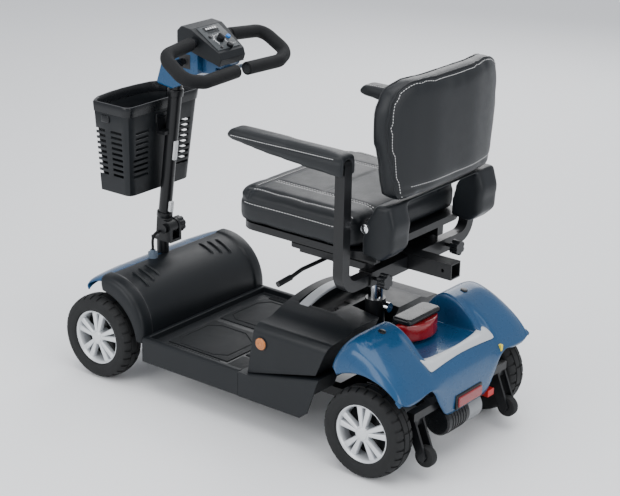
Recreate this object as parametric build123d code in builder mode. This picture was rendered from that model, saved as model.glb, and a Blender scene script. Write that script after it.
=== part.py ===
"""Four-wheel travel mobility scooter, built as separate working pieces.

Frame: millimetres, +Z up, ground at z = 0, front of the scooter at -Y,
the rider's left at +X, origin on the ground under the middle of the whole object.
"""
from build123d import *
from math import radians, tan
import os

os.makedirs("parts", exist_ok=True)

# ---------------------------------------------------------------- overall sizes
wheelbase = 792.0
rear_axle_y = 393.0
front_axle_y = rear_axle_y - wheelbase
front_wheel_x = 212.0           # wheel middle planes
rear_wheel_x = 222.0
body_half_width = 225.0         # deck, skirts and cowl
fender_half_width = 254.0

# ---------------------------------------------------------------- wheels
wheel_radius = 103.0
axle_z = wheel_radius
tyre_width = 62.0
tyre_shoulder = 97.5
rim_radius = 66.0               # tyre seat
rim_wall = 6.0
rim_width = 50.0
rim_face = 9.0
hub_radius = 18.0
hub_inner = -20.0               # hub end towards the scooter, from the wheel's middle
stub_radius = 8.0
spoke_count = 5

# ---------------------------------------------------------------- fits
running = 0.06                  # radial clearance of pins and shafts
slip = 0.5                      # clearance per side of square sliding tubes
gap = 0.4                       # clearance between pieces that pass each other

# ---------------------------------------------------------------- steering
kingpin_x = 163.0
kingpin_radius = 8.0
kingpin_boss_radius = 14.0
beam_size = 30.0
knuckle_plate = 7.0
boss_bottom = 77.5
boss_top = 119.5
upright_offset = 18.0           # from the kingpin to the upright's inner face
upright_thick = 8.0
steer_arm = 55.0
tie_rod_radius = 6.0
stem_radius = 15.0
head_tube_wall = 6.0
head_tube_top = 236.0
pitman_half_width = 9.0

# ---------------------------------------------------------------- frame
rail_x = 100.0
rail_width = 25.0
rail_bottom = 93.0
rail_height = 22.0
frame_split_y = 35.0            # where the front and rear frames unhook
rail_rear_y = 332.0
upper_rail_bottom = 136.0
upper_rail_height = 18.0
frame_tail_y = 484.0
socket_y = 244.0                # seat post axis
post_radius = 17.0
socket_wall = 6.0
socket_top = 303.0
socket_foot = 100.0
post_bottom = 126.0
post_top = 402.0

# ---------------------------------------------------------------- body panels
wall = 3.5
deck_front_y = -262.0
deck_floor_z = 122.0
deck_edge_z = 137.0
deck_rim = 16.0
skirt_bottom = 76.0
skirt_rear_y = 259.0
skirt_rear_z = 180.0
cowl_front_y = -388.0
cowl_foot_y = -285.0
cowl_crest_z = 256.0
well_ceiling = 216.0            # wheel well over the steered wheel
well_inner_x = 110.0
well_front_y = -540.0
nose_y = -478.0
nose_bottom = 112.0
fender_tip_y = -434.0

# ---------------------------------------------------------------- battery pack
pack_half_width = 215.0
pack_front_y = 52.0
pack_top_front_y = 76.0
pack_rear_y = 244.0
pack_top_rear_y = 283.0
pack_side_z = 262.0
pack_crown_z = 284.0
pack_front_z = 136.0
pack_rear_z = 184.0
notch_half_width = 38.0
notch_front_y = 208.0
handle_y = 122.0
handle_half_span = 145.0
handle_end_z = 262.0
handle_top_z = 304.0
handle_width = 26.0
handle_thick = 7.0
recess_half_width = 98.0
recess_depth = 34.0
reflector_radius = 14.0
reflector_y = 91.0
reflector_z = 217.0

# ---------------------------------------------------------------- rear shroud
shroud_front_y = 288.0
shroud_rear_y = 502.0
channel_half_width = 104.0
channel_floor_z = 238.0
panel_bottom_z = 118.0
panel_half_width = 84.0
arch_radius = 138.0
arch_inner_x = 176.0
lamp_half_width = 74.0
lamp_y = 352.0
lamp_depth = 52.0
lamp_bottom = 246.0
lamp_top = 286.0

# ---------------------------------------------------------------- rear running gear
shaft_radius = 8.5
shaft_inner_x = 8.0             # the drive shafts leave a gap at the middle
axle_tube_radius = 24.0
axle_tube_half = 148.0
gearbox_radius = 62.0
gearbox_half = 25.0
gearbox_x = -35.0               # middle of the gearbox
motor_radius = 34.0
motor_y = rear_axle_y + 74.0
motor_z = 92.0
motor_left_x = 72.0
tip_wheel_x = 163.0
tip_wheel_y = rear_axle_y + 112.0
tip_wheel_z = 56.0
tip_wheel_radius = 24.5
tip_wheel_width = 20.0
tip_arm_thick = 6.0

# ---------------------------------------------------------------- tiller
hinge_y = -374.0
hinge_z = 326.0
hinge_lug_half = 12.0
cheek_thick = 7.0
hinge_disc_radius = 19.0
hinge_pin_radius = 5.0
stem_plate_z = 292.0
stem_plate_thick = 7.0
tiller_lean = 7.1               # degrees back from vertical
tiller_foot_z = 300.0          # height at which tiller_foot_y is measured
tube_start_z = 350.0
tiller_top_z = 693.0
tiller_radius = 16.0
tiller_wall = 2.5
tiller_foot_y = -398.5
knob_radius = 20.0

# ---------------------------------------------------------------- handlebar and console
bar_radius = 11.0
grip_radius = 15.5
bar_root_y = -246.0
bar_plane_z = 814.0             # height of the bar's plane at the root
bar_slope = 0.60                # the plane falls this much per mm towards the rider
bar_half_width = 187.0
bar_rear_y = -148.0
bar_end_x = 17.0
console_half_width = 54.0
console_rear_half_width = 46.0
blade_half_span = 62.0
dial_radius = 9.0

# ---------------------------------------------------------------- basket
basket_top_z = 646.0
basket_bottom_z = 420.0
basket_rear_top_y = -388.0
basket_rear_bottom_y = -406.0
basket_front_top_y = -528.0
basket_front_bottom_y = -521.0
basket_top_half = 126.0
basket_bottom_half = 105.0
basket_wall = 3.2
slot_rows = 9
slot_pitch = 14.0
slot_height = 6.5

# ---------------------------------------------------------------- seat
plate_z = 422.0
plate_thick = 6.0
cross_tube = 32.0
cross_y = 322.0
cross_half = 152.0
arm_tube = 25.0
accessory_tube = 36.0
accessory_wall = 3.0
accessory_end_y = 452.0
accessory_z = 418.0
slide_x = 120.0
slide_width = 30.0
slide_height = 10.0
board_bottom = 468.0
board_thick = 16.0
board_half_width = 195.0
cushion_half_width = 215.0
cushion_front_y = -12.0
cushion_rear_y = 334.0
cushion_top = 562.0
fold_y = 355.0
fold_z = 545.0
fold_pin_radius = 6.0
bracket_x = 176.0
bracket_thick = 6.0
back_half_width = 208.0
back_bottom = 602.0
back_top = 866.0
back_thick = 50.0
back_rear_mid_y = 442.0
back_rear_side_y = 408.0
boot_inner_x = 132.0
boot_outer_x = 202.0
arm_x = 237.0
arm_bend_radius = 38.0
arm_pin_z = 684.0
arm_pin_radius = 4.0
pad_width = 50.0
pad_front_y = 24.0
pad_rear_y = 336.0
pad_top_z = 713.0
pad_bottom_z = 676.0

axle_front = Plane(origin=(0, front_axle_y, axle_z), x_dir=(1, 0, 0), z_dir=(0, -1, 0))
axle_rear = Plane(origin=(0, rear_axle_y, axle_z), x_dir=(1, 0, 0), z_dir=(0, -1, 0))


def side_plane(x):
    """Plane looking along X, with local x = world Y and local y = world Z."""
    return Plane(origin=(x, 0, 0), x_dir=(0, 1, 0), z_dir=(1, 0, 0))


def front_plane(y):
    """Plane looking along Y, with local x = world X and local y = world Z."""
    return Plane(origin=(0, y, 0), x_dir=(1, 0, 0), z_dir=(0, -1, 0))


def write(builder, name):
    """Label a finished piece and write its STEP file."""
    builder.part.label = name
    export_step(builder.part, f"parts/{name}.step")


def block(x0, x1, y0, y1, z0, z1, mode=Mode.ADD):
    """Box between two corners, in the current part."""
    with Locations(((x0 + x1) / 2, (y0 + y1) / 2, (z0 + z1) / 2)):
        Box(abs(x1 - x0), abs(y1 - y0), abs(z1 - z0), mode=mode)


def rod(start, end, radius, mode=Mode.ADD):
    """Round bar from one point to another, in the current part."""
    line = Vector(*end) - Vector(*start)
    with BuildSketch(Plane(origin=start, z_dir=line)) as section:
        Circle(radius)
    extrude(section.sketch, amount=line.length, mode=mode)


# ================================================================ wheels
wheel_places = {
    "front_left": (front_wheel_x, front_axle_y),
    "front_right": (-front_wheel_x, front_axle_y),
    "rear_left": (rear_wheel_x, rear_axle_y),
    "rear_right": (-rear_wheel_x, rear_axle_y),
}
for place, (wheel_x, wheel_y) in wheel_places.items():
    outward = 1 if wheel_x > 0 else -1
    wheel_plane = Plane(origin=(wheel_x, wheel_y, axle_z), x_dir=(outward, 0, 0), z_dir=(0, -outward, 0))
    wheel_axis = Axis((wheel_x, wheel_y, axle_z), (1, 0, 0))
    face_plane = Plane(origin=(wheel_x + outward * rim_width / 2, wheel_y, axle_z),
                       x_dir=(0, 1, 0), z_dir=(outward, 0, 0))
    bore = stub_radius + running if place.startswith("front") else shaft_radius
    half = tyre_width / 2

    with BuildPart() as tyre:
        with BuildSketch(wheel_plane):
            with BuildLine():
                seat_line = Line((-rim_width / 2 + 1, rim_radius), (rim_width / 2 - 1, rim_radius))
                outer_wall = ThreePointArc(seat_line @ 1, (half, (rim_radius + tyre_shoulder) / 2),
                                           (half - 4, tyre_shoulder))
                tread = ThreePointArc(outer_wall @ 1, (0, wheel_radius), (-half + 4, tyre_shoulder))
                ThreePointArc(tread @ 1, (-half, (rim_radius + tyre_shoulder) / 2), seat_line @ 0)
            make_face()
        revolve(axis=wheel_axis)
    write(tyre, f"{place.split('_')[0]}_tyre_{place.split('_')[1]}")

    with BuildPart() as rim:
        with BuildSketch(wheel_plane):
            with Locations((0, rim_radius - rim_wall / 2)):
                Rectangle(rim_width, rim_wall)
            with Locations((rim_width / 2 - rim_face / 2 - 2, (rim_radius - 2 + bore) / 2)):
                Rectangle(rim_face, rim_radius - 2 - bore)
            with Locations(((hub_inner + rim_width / 2) / 2, (hub_radius + bore) / 2)):
                Rectangle(rim_width / 2 - hub_inner, hub_radius - bore)
        revolve(axis=wheel_axis)
        with BuildSketch(face_plane):
            with PolarLocations(0, spoke_count, start_angle=90 + 180 / spoke_count):
                with BuildLine():
                    Polyline((24, -7), (55, -17), (57, 0), (55, 17), (24, 7), close=True)
                make_face()
            with PolarLocations(41, spoke_count, start_angle=90):
                Rectangle(28, 5)
        extrude(amount=-(rim_face + 4), mode=Mode.SUBTRACT)
        if place.startswith("rear"):
            rod((outward * shaft_inner_x, wheel_y, axle_z), (wheel_x + outward * rim_width / 2, wheel_y, axle_z),
                shaft_radius)
    write(rim, f"{place.split('_')[0]}_rim_{place.split('_')[1]}")

# ================================================================ front frame
with BuildPart() as front_frame:
    block(-kingpin_x, kingpin_x, front_axle_y - beam_size / 2, front_axle_y + beam_size / 2,
          axle_z - beam_size / 2, axle_z + beam_size / 2)
    for side in (-1, 1):
        rod((side * kingpin_x, front_axle_y, boss_bottom), (side * kingpin_x, front_axle_y, boss_top),
            kingpin_boss_radius)
        block(side * rail_x - rail_width / 2, side * rail_x + rail_width / 2,
              front_axle_y, frame_split_y, rail_bottom, rail_bottom + rail_height)
    rod((0, front_axle_y, boss_bottom), (0, front_axle_y, head_tube_top), stem_radius + head_tube_wall)
    block(-rail_x, rail_x, frame_split_y - rail_width, frame_split_y, rail_bottom, rail_bottom + rail_height)
    block(-rail_x, rail_x, front_axle_y + 105, front_axle_y + 105 + rail_width,
          rail_bottom, rail_bottom + rail_height)
    for side in (-1, 1):
        rod((side * kingpin_x, front_axle_y, 0), (side * kingpin_x, front_axle_y, 200),
            kingpin_radius + running, mode=Mode.SUBTRACT)
    rod((0, front_axle_y, 0), (0, front_axle_y, 400), stem_radius + running, mode=Mode.SUBTRACT)
write(front_frame, "front_frame")

# ================================================================ steering knuckles and tie rod
upright_x = kingpin_x + upright_offset
for side, name in ((1, "left"), (-1, "right")):
    with BuildPart() as knuckle:
        rod((side * kingpin_x, front_axle_y, boss_bottom - knuckle_plate - gap),
            (side * kingpin_x, front_axle_y, boss_top + knuckle_plate + gap), kingpin_radius)
        for low in (boss_bottom - knuckle_plate - gap, boss_top + gap):
            rod((side * kingpin_x, front_axle_y, low), (side * kingpin_x, front_axle_y, low + knuckle_plate),
                kingpin_boss_radius)
            block(side * kingpin_x, side * (upright_x + upright_thick), front_axle_y - 13, front_axle_y + 13,
                  low, low + knuckle_plate)
        block(side * upright_x, side * (upright_x + upright_thick), front_axle_y - 13, front_axle_y + 13,
              boss_bottom - knuckle_plate - gap, boss_top + knuckle_plate + gap)
        rod((side * upright_x, front_axle_y, axle_z),
            (side * (front_wheel_x + rim_width / 2 - 1), front_axle_y, axle_z), stub_radius)
        block(side * kingpin_x - pitman_half_width, side * kingpin_x + pitman_half_width,
              front_axle_y, front_axle_y + steer_arm,
              boss_bottom - knuckle_plate - gap, boss_bottom - gap)
        rod((side * kingpin_x, front_axle_y + steer_arm, boss_bottom - knuckle_plate - gap),
            (side * kingpin_x, front_axle_y + steer_arm, boss_bottom - gap), pitman_half_width)
        rod((side * kingpin_x, front_axle_y + steer_arm, boss_bottom - knuckle_plate - gap),
            (side * kingpin_x, front_axle_y + steer_arm, boss_bottom + 2 * tie_rod_radius), 4)
    write(knuckle, f"front_knuckle_{name}")

tie_z = boss_bottom + tie_rod_radius
with BuildPart() as tie_rod:
    rod((-kingpin_x, front_axle_y + steer_arm, tie_z), (kingpin_x, front_axle_y + steer_arm, tie_z),
        tie_rod_radius - 1)
    for eye_x in (-kingpin_x, 0, kingpin_x):
        rod((eye_x, front_axle_y + steer_arm, boss_bottom), (eye_x, front_axle_y + steer_arm,
            boss_bottom + 2 * tie_rod_radius), pitman_half_width)
    for eye_x, clear in ((-kingpin_x, 1.0), (0, 1.0), (kingpin_x, running)):
        rod((eye_x, front_axle_y + steer_arm, 0), (eye_x, front_axle_y + steer_arm, 200), 4 + clear,
            mode=Mode.SUBTRACT)
write(tie_rod, "tie_rod")

# ================================================================ steering stem with the tiller's clevis
with BuildPart() as steering_stem:
    rod((0, front_axle_y, boss_bottom - knuckle_plate - gap), (0, front_axle_y, stem_plate_z), stem_radius)
    block(-pitman_half_width, pitman_half_width, front_axle_y, front_axle_y + steer_arm,
          boss_bottom - knuckle_plate - gap, boss_bottom - gap)
    rod((0, front_axle_y + steer_arm, boss_bottom - knuckle_plate - gap),
        (0, front_axle_y + steer_arm, boss_bottom - gap), pitman_half_width)
    rod((0, front_axle_y + steer_arm, boss_bottom - knuckle_plate - gap),
        (0, front_axle_y + steer_arm, boss_bottom + 2 * tie_rod_radius), 4)
    rod((0, front_axle_y, head_tube_top + gap), (0, front_axle_y, head_tube_top + 8),
        stem_radius + head_tube_wall)
    block(-hinge_lug_half - cheek_thick - gap, hinge_lug_half + cheek_thick + gap,
          front_axle_y - 20, hinge_y + hinge_disc_radius, stem_plate_z, stem_plate_z + stem_plate_thick)
    for side in (-1, 1):
        with BuildSketch(side_plane(side * (hinge_lug_half + gap + (0 if side > 0 else cheek_thick)))):
            with Locations((hinge_y, hinge_z)):
                Circle(hinge_disc_radius)
            with BuildLine():
                Polyline((hinge_y - hinge_disc_radius, hinge_z), (hinge_y - hinge_disc_radius, stem_plate_z),
                         (hinge_y + hinge_disc_radius, stem_plate_z), (hinge_y + hinge_disc_radius, hinge_z),
                         close=True)
            make_face()
        extrude(amount=cheek_thick)
    rod((-hinge_lug_half - cheek_thick, hinge_y, hinge_z), (hinge_lug_half + cheek_thick + 8, hinge_y, hinge_z),
        hinge_pin_radius)
    rod((hinge_lug_half + cheek_thick, hinge_y, hinge_z), (hinge_lug_half + cheek_thick + 8, hinge_y, hinge_z), 11)
write(steering_stem, "steering_stem")

# ================================================================ tiller tube
lean = radians(tiller_lean)


def on_tiller(z):
    """Point of the tiller's centre line at a height."""
    return (0, tiller_foot_y + (z - tiller_foot_z) * tan(lean), z)


with BuildPart() as tiller_tube:
    rod(on_tiller(tube_start_z), on_tiller(tiller_top_z), tiller_radius)
    with BuildSketch(side_plane(-hinge_lug_half)):
        with Locations((hinge_y, hinge_z)):
            Circle(hinge_disc_radius - 2)
        with BuildLine():
            foot = stem_plate_z + stem_plate_thick + gap
            tip_y = on_tiller(tube_start_z)[1]
            Polyline((hinge_y, foot), (hinge_y, hinge_z + hinge_disc_radius - 2),
                     (tip_y + tiller_radius - 2, tube_start_z + 2), (tip_y - tiller_radius + 2, tube_start_z + 2),
                     (hinge_y - 36, foot + 5), close=True)
        make_face()
    extrude(amount=2 * hinge_lug_half)
    bracket_at = on_tiller(600)
    block(-30, 30, basket_rear_top_y + 4, bracket_at[1], 566, 574)
    block(-30, 30, basket_rear_top_y + 1, basket_rear_top_y + 5, 566, 604)
    rod(on_tiller(tube_start_z + 4), on_tiller(tiller_top_z + 5), tiller_radius - tiller_wall,
        mode=Mode.SUBTRACT)
    rod((-60, hinge_y, hinge_z), (60, hinge_y, hinge_z), hinge_pin_radius + running, mode=Mode.SUBTRACT)
write(tiller_tube, "tiller_tube")

knob_x = -(hinge_lug_half + gap + cheek_thick)
with BuildPart() as tiller_knob:
    with BuildSketch(side_plane(knob_x - gap)):
        with Locations((hinge_y, hinge_z)):
            Circle(knob_radius)
            with PolarLocations(knob_radius + 3, 8):
                Circle(5, mode=Mode.SUBTRACT)
    extrude(amount=-16)
write(tiller_knob, "tiller_knob")

# ================================================================ handlebar: two open loops


def bar_point(x, y):
    """Point on the bar's sloping plane."""
    return (x, y, bar_plane_z - bar_slope * (y - bar_root_y))


bar_start_x = console_half_width - 3
grip_start_x = console_half_width + 14
bar_bends = [32, 32, 30]


def bar_route(side):
    """Corner points of one loop, from the console round to its open end."""
    return [bar_point(side * bar_start_x, bar_root_y), bar_point(side * (bar_half_width - 14), bar_root_y + 14),
            bar_point(side * (bar_half_width - 8), bar_rear_y - 14),
            bar_point(side * (bar_half_width - 56), bar_rear_y + 2),
            bar_point(side * bar_end_x, bar_rear_y - 2)]


with BuildPart() as handlebar:
    for side in (-1, 1):
        with BuildLine() as path:
            FilletPolyline(*bar_route(side), radius=bar_bends)
        with BuildSketch(Plane(origin=path.line @ 0, z_dir=path.line % 0)):
            Circle(bar_radius)
        sweep(path=path.line)
        rod(bar_route(side)[0], bar_point(side * (bar_start_x - 17), bar_root_y), bar_radius)
    block(-bar_start_x, bar_start_x, bar_root_y - 6, bar_root_y + 6, bar_plane_z - 6, bar_plane_z + 6)
write(handlebar, "handlebar")

with BuildPart() as handlebar_grips:
    for side in (-1, 1):
        with BuildLine() as path:
            FilletPolyline(*bar_route(side), radius=bar_bends)
        with BuildSketch(Plane(origin=path.line @ 0, z_dir=path.line % 0)):
            Circle(grip_radius)
            Circle(bar_radius, mode=Mode.SUBTRACT)
        sweep(path=path.line)
    block(-grip_start_x, grip_start_x, bar_root_y - 30, bar_root_y + 40, bar_plane_z - 50, bar_plane_z + 50,
          mode=Mode.SUBTRACT)
write(handlebar_grips, "handlebar_grips")

# ================================================================ console
cover_low_front = (-300.0, 806.0)
cover_low_rear = (-180.0, 766.0)
base_foot_front = (-372.0, 696.0)
blade_y, blade_z = -188.0, 751.0
base_foot_rear = (on_tiller(tiller_top_z)[1] + 25.0, tiller_top_z - 25.0 * tan(lean))
with BuildPart() as console_base:
    with BuildSketch(side_plane(-console_half_width + 5)):
        with BuildLine():
            Polyline((-240, 786), cover_low_front, (-350, 764), base_foot_front, base_foot_rear, (-262, 720),
                     (-240, 740), close=True)
        make_face()
    extrude(amount=2 * (console_half_width - 5))
    fillet(console_base.edges().filter_by(Axis.Z, 30).filter_by(lambda e: e.center().Y < -300), 6)
    with BuildSketch(side_plane(-30)):
        with BuildLine():
            Polyline((-241, 786 + 1 / 3), cover_low_rear, (-196, 744), (-241, 739), close=True)
        make_face()
    extrude(amount=60)
    rod((0, blade_y, blade_z - 12), (0, blade_y, blade_z + 7), 10, mode=Mode.SUBTRACT)
    block(-40, 40, blade_y - 14, blade_y + 30, blade_z - 6, blade_z + 7, mode=Mode.SUBTRACT)
    rod((0, blade_y, blade_z - 9), (0, blade_y, blade_z + 10), 3)
write(console_base, "console_base")

with BuildPart() as console_cover:
    with BuildSketch(side_plane(-console_half_width)):
        with BuildLine():
            Polyline(cover_low_front, cover_low_rear, (-174, 782), (-180, 797), (-256, 843), (-286, 846),
                     (-300, 832), close=True)
        make_face()
    extrude(amount=2 * console_half_width)
    for side in (-1, 1):
        with BuildSketch(Plane.XY.offset(750)):
            with BuildLine():
                Polyline((side * console_half_width, -250), (side * 80, -250), (side * 80, -160),
                         (side * (console_rear_half_width - 6), -160), close=True)
            make_face()
        extrude(amount=120, mode=Mode.SUBTRACT)
    fillet(console_cover.edges().filter_by(lambda e: e.center().Y < -299 and abs(e.center().X) > 50), 5)
    block(-34, 34, -310, -296, 810, 832, mode=Mode.SUBTRACT)
    add(handlebar.part, mode=Mode.SUBTRACT)
write(console_cover, "console_cover")

dash_normal = Vector(0, 46, 76).normalized()


def on_dash(x, y):
    """Plane on the dash's sloping face."""
    return Plane(origin=(x, y, 797 + (-180 - y) * 46 / 76), x_dir=(1, 0, 0), z_dir=dash_normal)


with BuildPart() as headlight_lens:
    block(-34, 34, -301, -296, 810, 832)
    fillet(headlight_lens.edges().filter_by(Axis.Y), 6)
write(headlight_lens, "headlight_lens")

with BuildPart() as speed_dial:
    with BuildSketch(on_dash(4, -212).offset(gap)):
        Circle(dial_radius)
    extrude(amount=11)
    with BuildSketch(on_dash(4, -212).offset(11)):
        Rectangle(4, 2 * dial_radius - 2)
    extrude(amount=4)
write(speed_dial, "speed_dial")

with BuildPart() as horn_button:
    with BuildSketch(on_dash(-26, -214).offset(gap)):
        Circle(6)
    extrude(amount=6, taper=8)
write(horn_button, "horn_button")

key_y, key_z = -278.0, 764.0
with BuildPart() as ignition_key:
    rod((console_half_width - 5 + gap, key_y, key_z), (console_half_width + 5, key_y, key_z), 7)
    block(console_half_width + 4, console_half_width + 26, key_y - 2, key_y + 2, key_z - 9, key_z + 9)
write(ignition_key, "ignition_key")

with BuildPart() as throttle_paddle:
    rod((0, blade_y, blade_z - 9), (0, blade_y, blade_z + 6), 9)
    for side in (-1, 1):
        with BuildSketch(Plane.XY.offset(blade_z - 3)):
            with BuildLine():
                Polyline((0, blade_y - 4), (side * 40, blade_y - 4), (side * blade_half_span, blade_y + 2),
                         (side * blade_half_span, blade_y + 16), (side * 52, blade_y + 12),
                         (side * 36, blade_y + 5), (0, blade_y + 5), close=True)
            make_face()
        extrude(amount=7)
    rod((0, blade_y, blade_z - 20), (0, blade_y, blade_z + 20), 3 + running, mode=Mode.SUBTRACT)
write(throttle_paddle, "throttle_paddle")

# ================================================================ basket


def basket_outline(z, inset):
    """Plan outline of the basket at a height: straight rear, short sides, bowed front."""
    share = (z - basket_bottom_z) / (basket_top_z - basket_bottom_z)
    half_w = basket_bottom_half + share * (basket_top_half - basket_bottom_half) - inset
    rear = basket_rear_bottom_y + share * (basket_rear_top_y - basket_rear_bottom_y) - inset
    front = basket_front_bottom_y + share * (basket_front_top_y - basket_front_bottom_y) + inset
    return half_w, rear, front


def basket_solid(low, high, inset):
    """Loft between two of the basket's plan outlines."""
    with BuildPart() as solid:
        for z in (low, high):
            half_w, rear, front = basket_outline(z, inset)
            with BuildSketch(Plane.XY.offset(z)):
                with BuildLine():
                    Polyline((half_w, front + 40), (half_w, rear - 10), (half_w - 10, rear), (-half_w + 10, rear),
                             (-half_w, rear - 10), (-half_w, front + 40))
                    ThreePointArc((-half_w, front + 40), (0, front), (half_w, front + 40))
                make_face()
        loft(ruled=True)
    return solid.part


basket_outer = basket_solid(basket_bottom_z, basket_top_z, 0)
basket_inner = basket_solid(basket_bottom_z + basket_wall, basket_top_z + 5, basket_wall)
basket_band = basket_solid(basket_top_z - 24, basket_top_z, -2.5)
band_inner = basket_solid(basket_top_z - 30, basket_top_z + 5, 0)
with BuildPart() as basket:
    add(basket_outer)
    add(basket_inner, mode=Mode.SUBTRACT)
    slot_z = [basket_top_z - 70 - row * slot_pitch for row in range(slot_rows)]
    for z in slot_z:
        for column_y in (-440, -487):
            block(-140, 140, column_y - 16, column_y + 16, z - slot_height / 2, z + slot_height / 2,
                  mode=Mode.SUBTRACT)
        for side in (-1, 1):
            block(side * 48, side * 90, -420, -380, z - slot_height / 2, z + slot_height / 2,
                  mode=Mode.SUBTRACT)
    half_w, rear, front = basket_outline(basket_top_z - 36, 0)
    block(-36, 36, rear - 2, basket_rear_top_y + 9, 606, 612)
    block(-36, 36, basket_rear_top_y + 6, basket_rear_top_y + 9, 594, 612)
write(basket, "basket")

# ================================================================ floor deck
with BuildPart() as floor_deck:
    block(-body_half_width, body_half_width, deck_front_y, frame_split_y - 3, skirt_bottom, deck_edge_z)
    fillet(floor_deck.edges().filter_by(Axis.Y).filter_by(lambda e: e.center().Z > 100), 8)
    block(-body_half_width + deck_rim, body_half_width - deck_rim, deck_front_y + 12, frame_split_y,
          deck_floor_z, deck_edge_z + 5, mode=Mode.SUBTRACT)
    block(-body_half_width + wall, body_half_width - wall, deck_front_y - 5, frame_split_y + 5,
          skirt_bottom - 5, deck_floor_z - wall, mode=Mode.SUBTRACT)
write(floor_deck, "floor_deck")

# ================================================================ side skirts under the battery pack
with BuildPart() as side_skirts:
    with BuildSketch(side_plane(-body_half_width)):
        with BuildLine():
            Polyline((frame_split_y - 3 + gap, skirt_bottom), (frame_split_y - 3 + gap, pack_front_z - gap),
                     (pack_front_y, pack_front_z - gap), (skirt_rear_y, skirt_rear_z), (skirt_rear_y - 30, 92),
                     (skirt_rear_y - 50, skirt_bottom), close=True)
        make_face()
    extrude(amount=2 * body_half_width)
    fillet(side_skirts.edges().filter_by(lambda e: abs(e.center().X) > body_half_width - 1 and e.center().Z > 130
                                         and e.length > 100), 6)
    with BuildSketch(side_plane(-body_half_width + wall)):
        with BuildLine():
            Polyline((0, 60), (0, deck_floor_z - wall), (pack_front_y + 4, deck_floor_z - wall),
                     (pack_front_y + 4, deck_floor_z), (skirt_rear_y - 30, deck_floor_z + 20),
                     (skirt_rear_y + 40, deck_floor_z + 20), (skirt_rear_y + 40, 60), close=True)
        make_face()
    extrude(amount=2 * (body_half_width - wall), mode=Mode.SUBTRACT)
    block(-150, 150, pack_front_y + 20, skirt_rear_y + 20, deck_floor_z - 20, skirt_rear_z + 20,
          mode=Mode.SUBTRACT)
write(side_skirts, "side_skirts")

# ================================================================ battery pack
with BuildPart() as battery_handle:
    with BuildSketch(front_plane(handle_y + handle_width / 2)):
        with BuildLine():
            top = ThreePointArc((-handle_half_span, handle_end_z), (0, handle_top_z),
                                (handle_half_span, handle_end_z))
            Line(top @ 1, (handle_half_span, handle_end_z - handle_thick))
            under = ThreePointArc((handle_half_span, handle_end_z - handle_thick),
                                  (0, handle_top_z - handle_thick),
                                  (-handle_half_span, handle_end_z - handle_thick))
            Line(under @ 1, top @ 0)
        make_face()
    extrude(amount=handle_width)
write(battery_handle, "battery_handle")

tub_half_width = 146.0
tub_rear_y = notch_front_y - 6.0
tub_bottom = 124.0
with BuildPart() as battery_case:
    with BuildSketch(side_plane(-pack_half_width)):
        with BuildLine():
            Polyline((pack_front_y, pack_front_z), (pack_top_front_y - 6, pack_side_z - 10),
                     (pack_top_front_y + 4, handle_top_z - 4), (pack_top_rear_y, pack_crown_z - 8),
                     (pack_rear_y, pack_rear_z), close=True)
        make_face()
    extrude(amount=2 * pack_half_width)
    with BuildSketch(front_plane(400)):
        with BuildLine():
            crown = ThreePointArc((-handle_half_span - 12, pack_side_z), (0, handle_top_z - 5),
                                  (handle_half_span + 12, pack_side_z))
            Polyline(crown @ 1, (pack_half_width, pack_side_z - 4), (pack_half_width, 60),
                     (-pack_half_width, 60), (-pack_half_width, pack_side_z - 4), crown @ 0)
        make_face()
    extrude(amount=400, mode=Mode.INTERSECT)
    fillet(battery_case.edges().filter_by(lambda e: abs(abs(e.center().X) - pack_half_width) < 1
                                          and e.center().Z > 240 and e.length > 100), 22)
    block(-tub_half_width, tub_half_width, pack_front_y + 24, tub_rear_y, tub_bottom, pack_rear_z + 10)
    block(-notch_half_width, notch_half_width, notch_front_y, pack_top_rear_y + 5, 0, 400, mode=Mode.SUBTRACT)
    block(-recess_half_width, recess_half_width, handle_y - handle_width / 2 - 6, tub_rear_y - 2,
          handle_top_z - handle_thick - recess_depth, 400, mode=Mode.SUBTRACT)
    for side in (-1, 1):
        block(side * 6, side * (tub_half_width - 4), pack_front_y + 30, tub_rear_y - 6,
              tub_bottom + 4, handle_top_z - handle_thick - recess_depth - 5, mode=Mode.SUBTRACT)
    add(battery_handle.part, mode=Mode.SUBTRACT)
write(battery_case, "battery_case")

with BuildPart() as battery_cells:
    for side in (-1, 1):
        block(side * 7, side * (tub_half_width - 5), pack_front_y + 31, tub_rear_y - 7,
              tub_bottom + 4, tub_bottom + 104)
write(battery_cells, "battery_cells")

with BuildPart() as side_reflectors:
    for side in (-1, 1):
        rod((side * pack_half_width, reflector_y, reflector_z),
            (side * (pack_half_width + 4), reflector_y, reflector_z), reflector_radius)
write(side_reflectors, "side_reflectors")

# ================================================================ front cowl and front fender


def cowl_block(inset):
    """Solid of the cowl's outer shape, or of its hollow when inset."""
    with BuildPart() as solid:
        with BuildSketch(side_plane(-body_half_width - 3 + inset)):
            with BuildLine():
                hump = ThreePointArc((deck_front_y - 4, deck_floor_z + 10), (deck_front_y - 30, 215),
                                     (cowl_front_y, cowl_crest_z))
                Polyline(hump @ 1, (cowl_front_y, skirt_bottom), (deck_front_y - 4, skirt_bottom), hump @ 0)
            make_face()
            if inset:
                offset(amount=-inset)
        extrude(amount=2 * (body_half_width + 3 - inset))
    return solid.part


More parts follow.
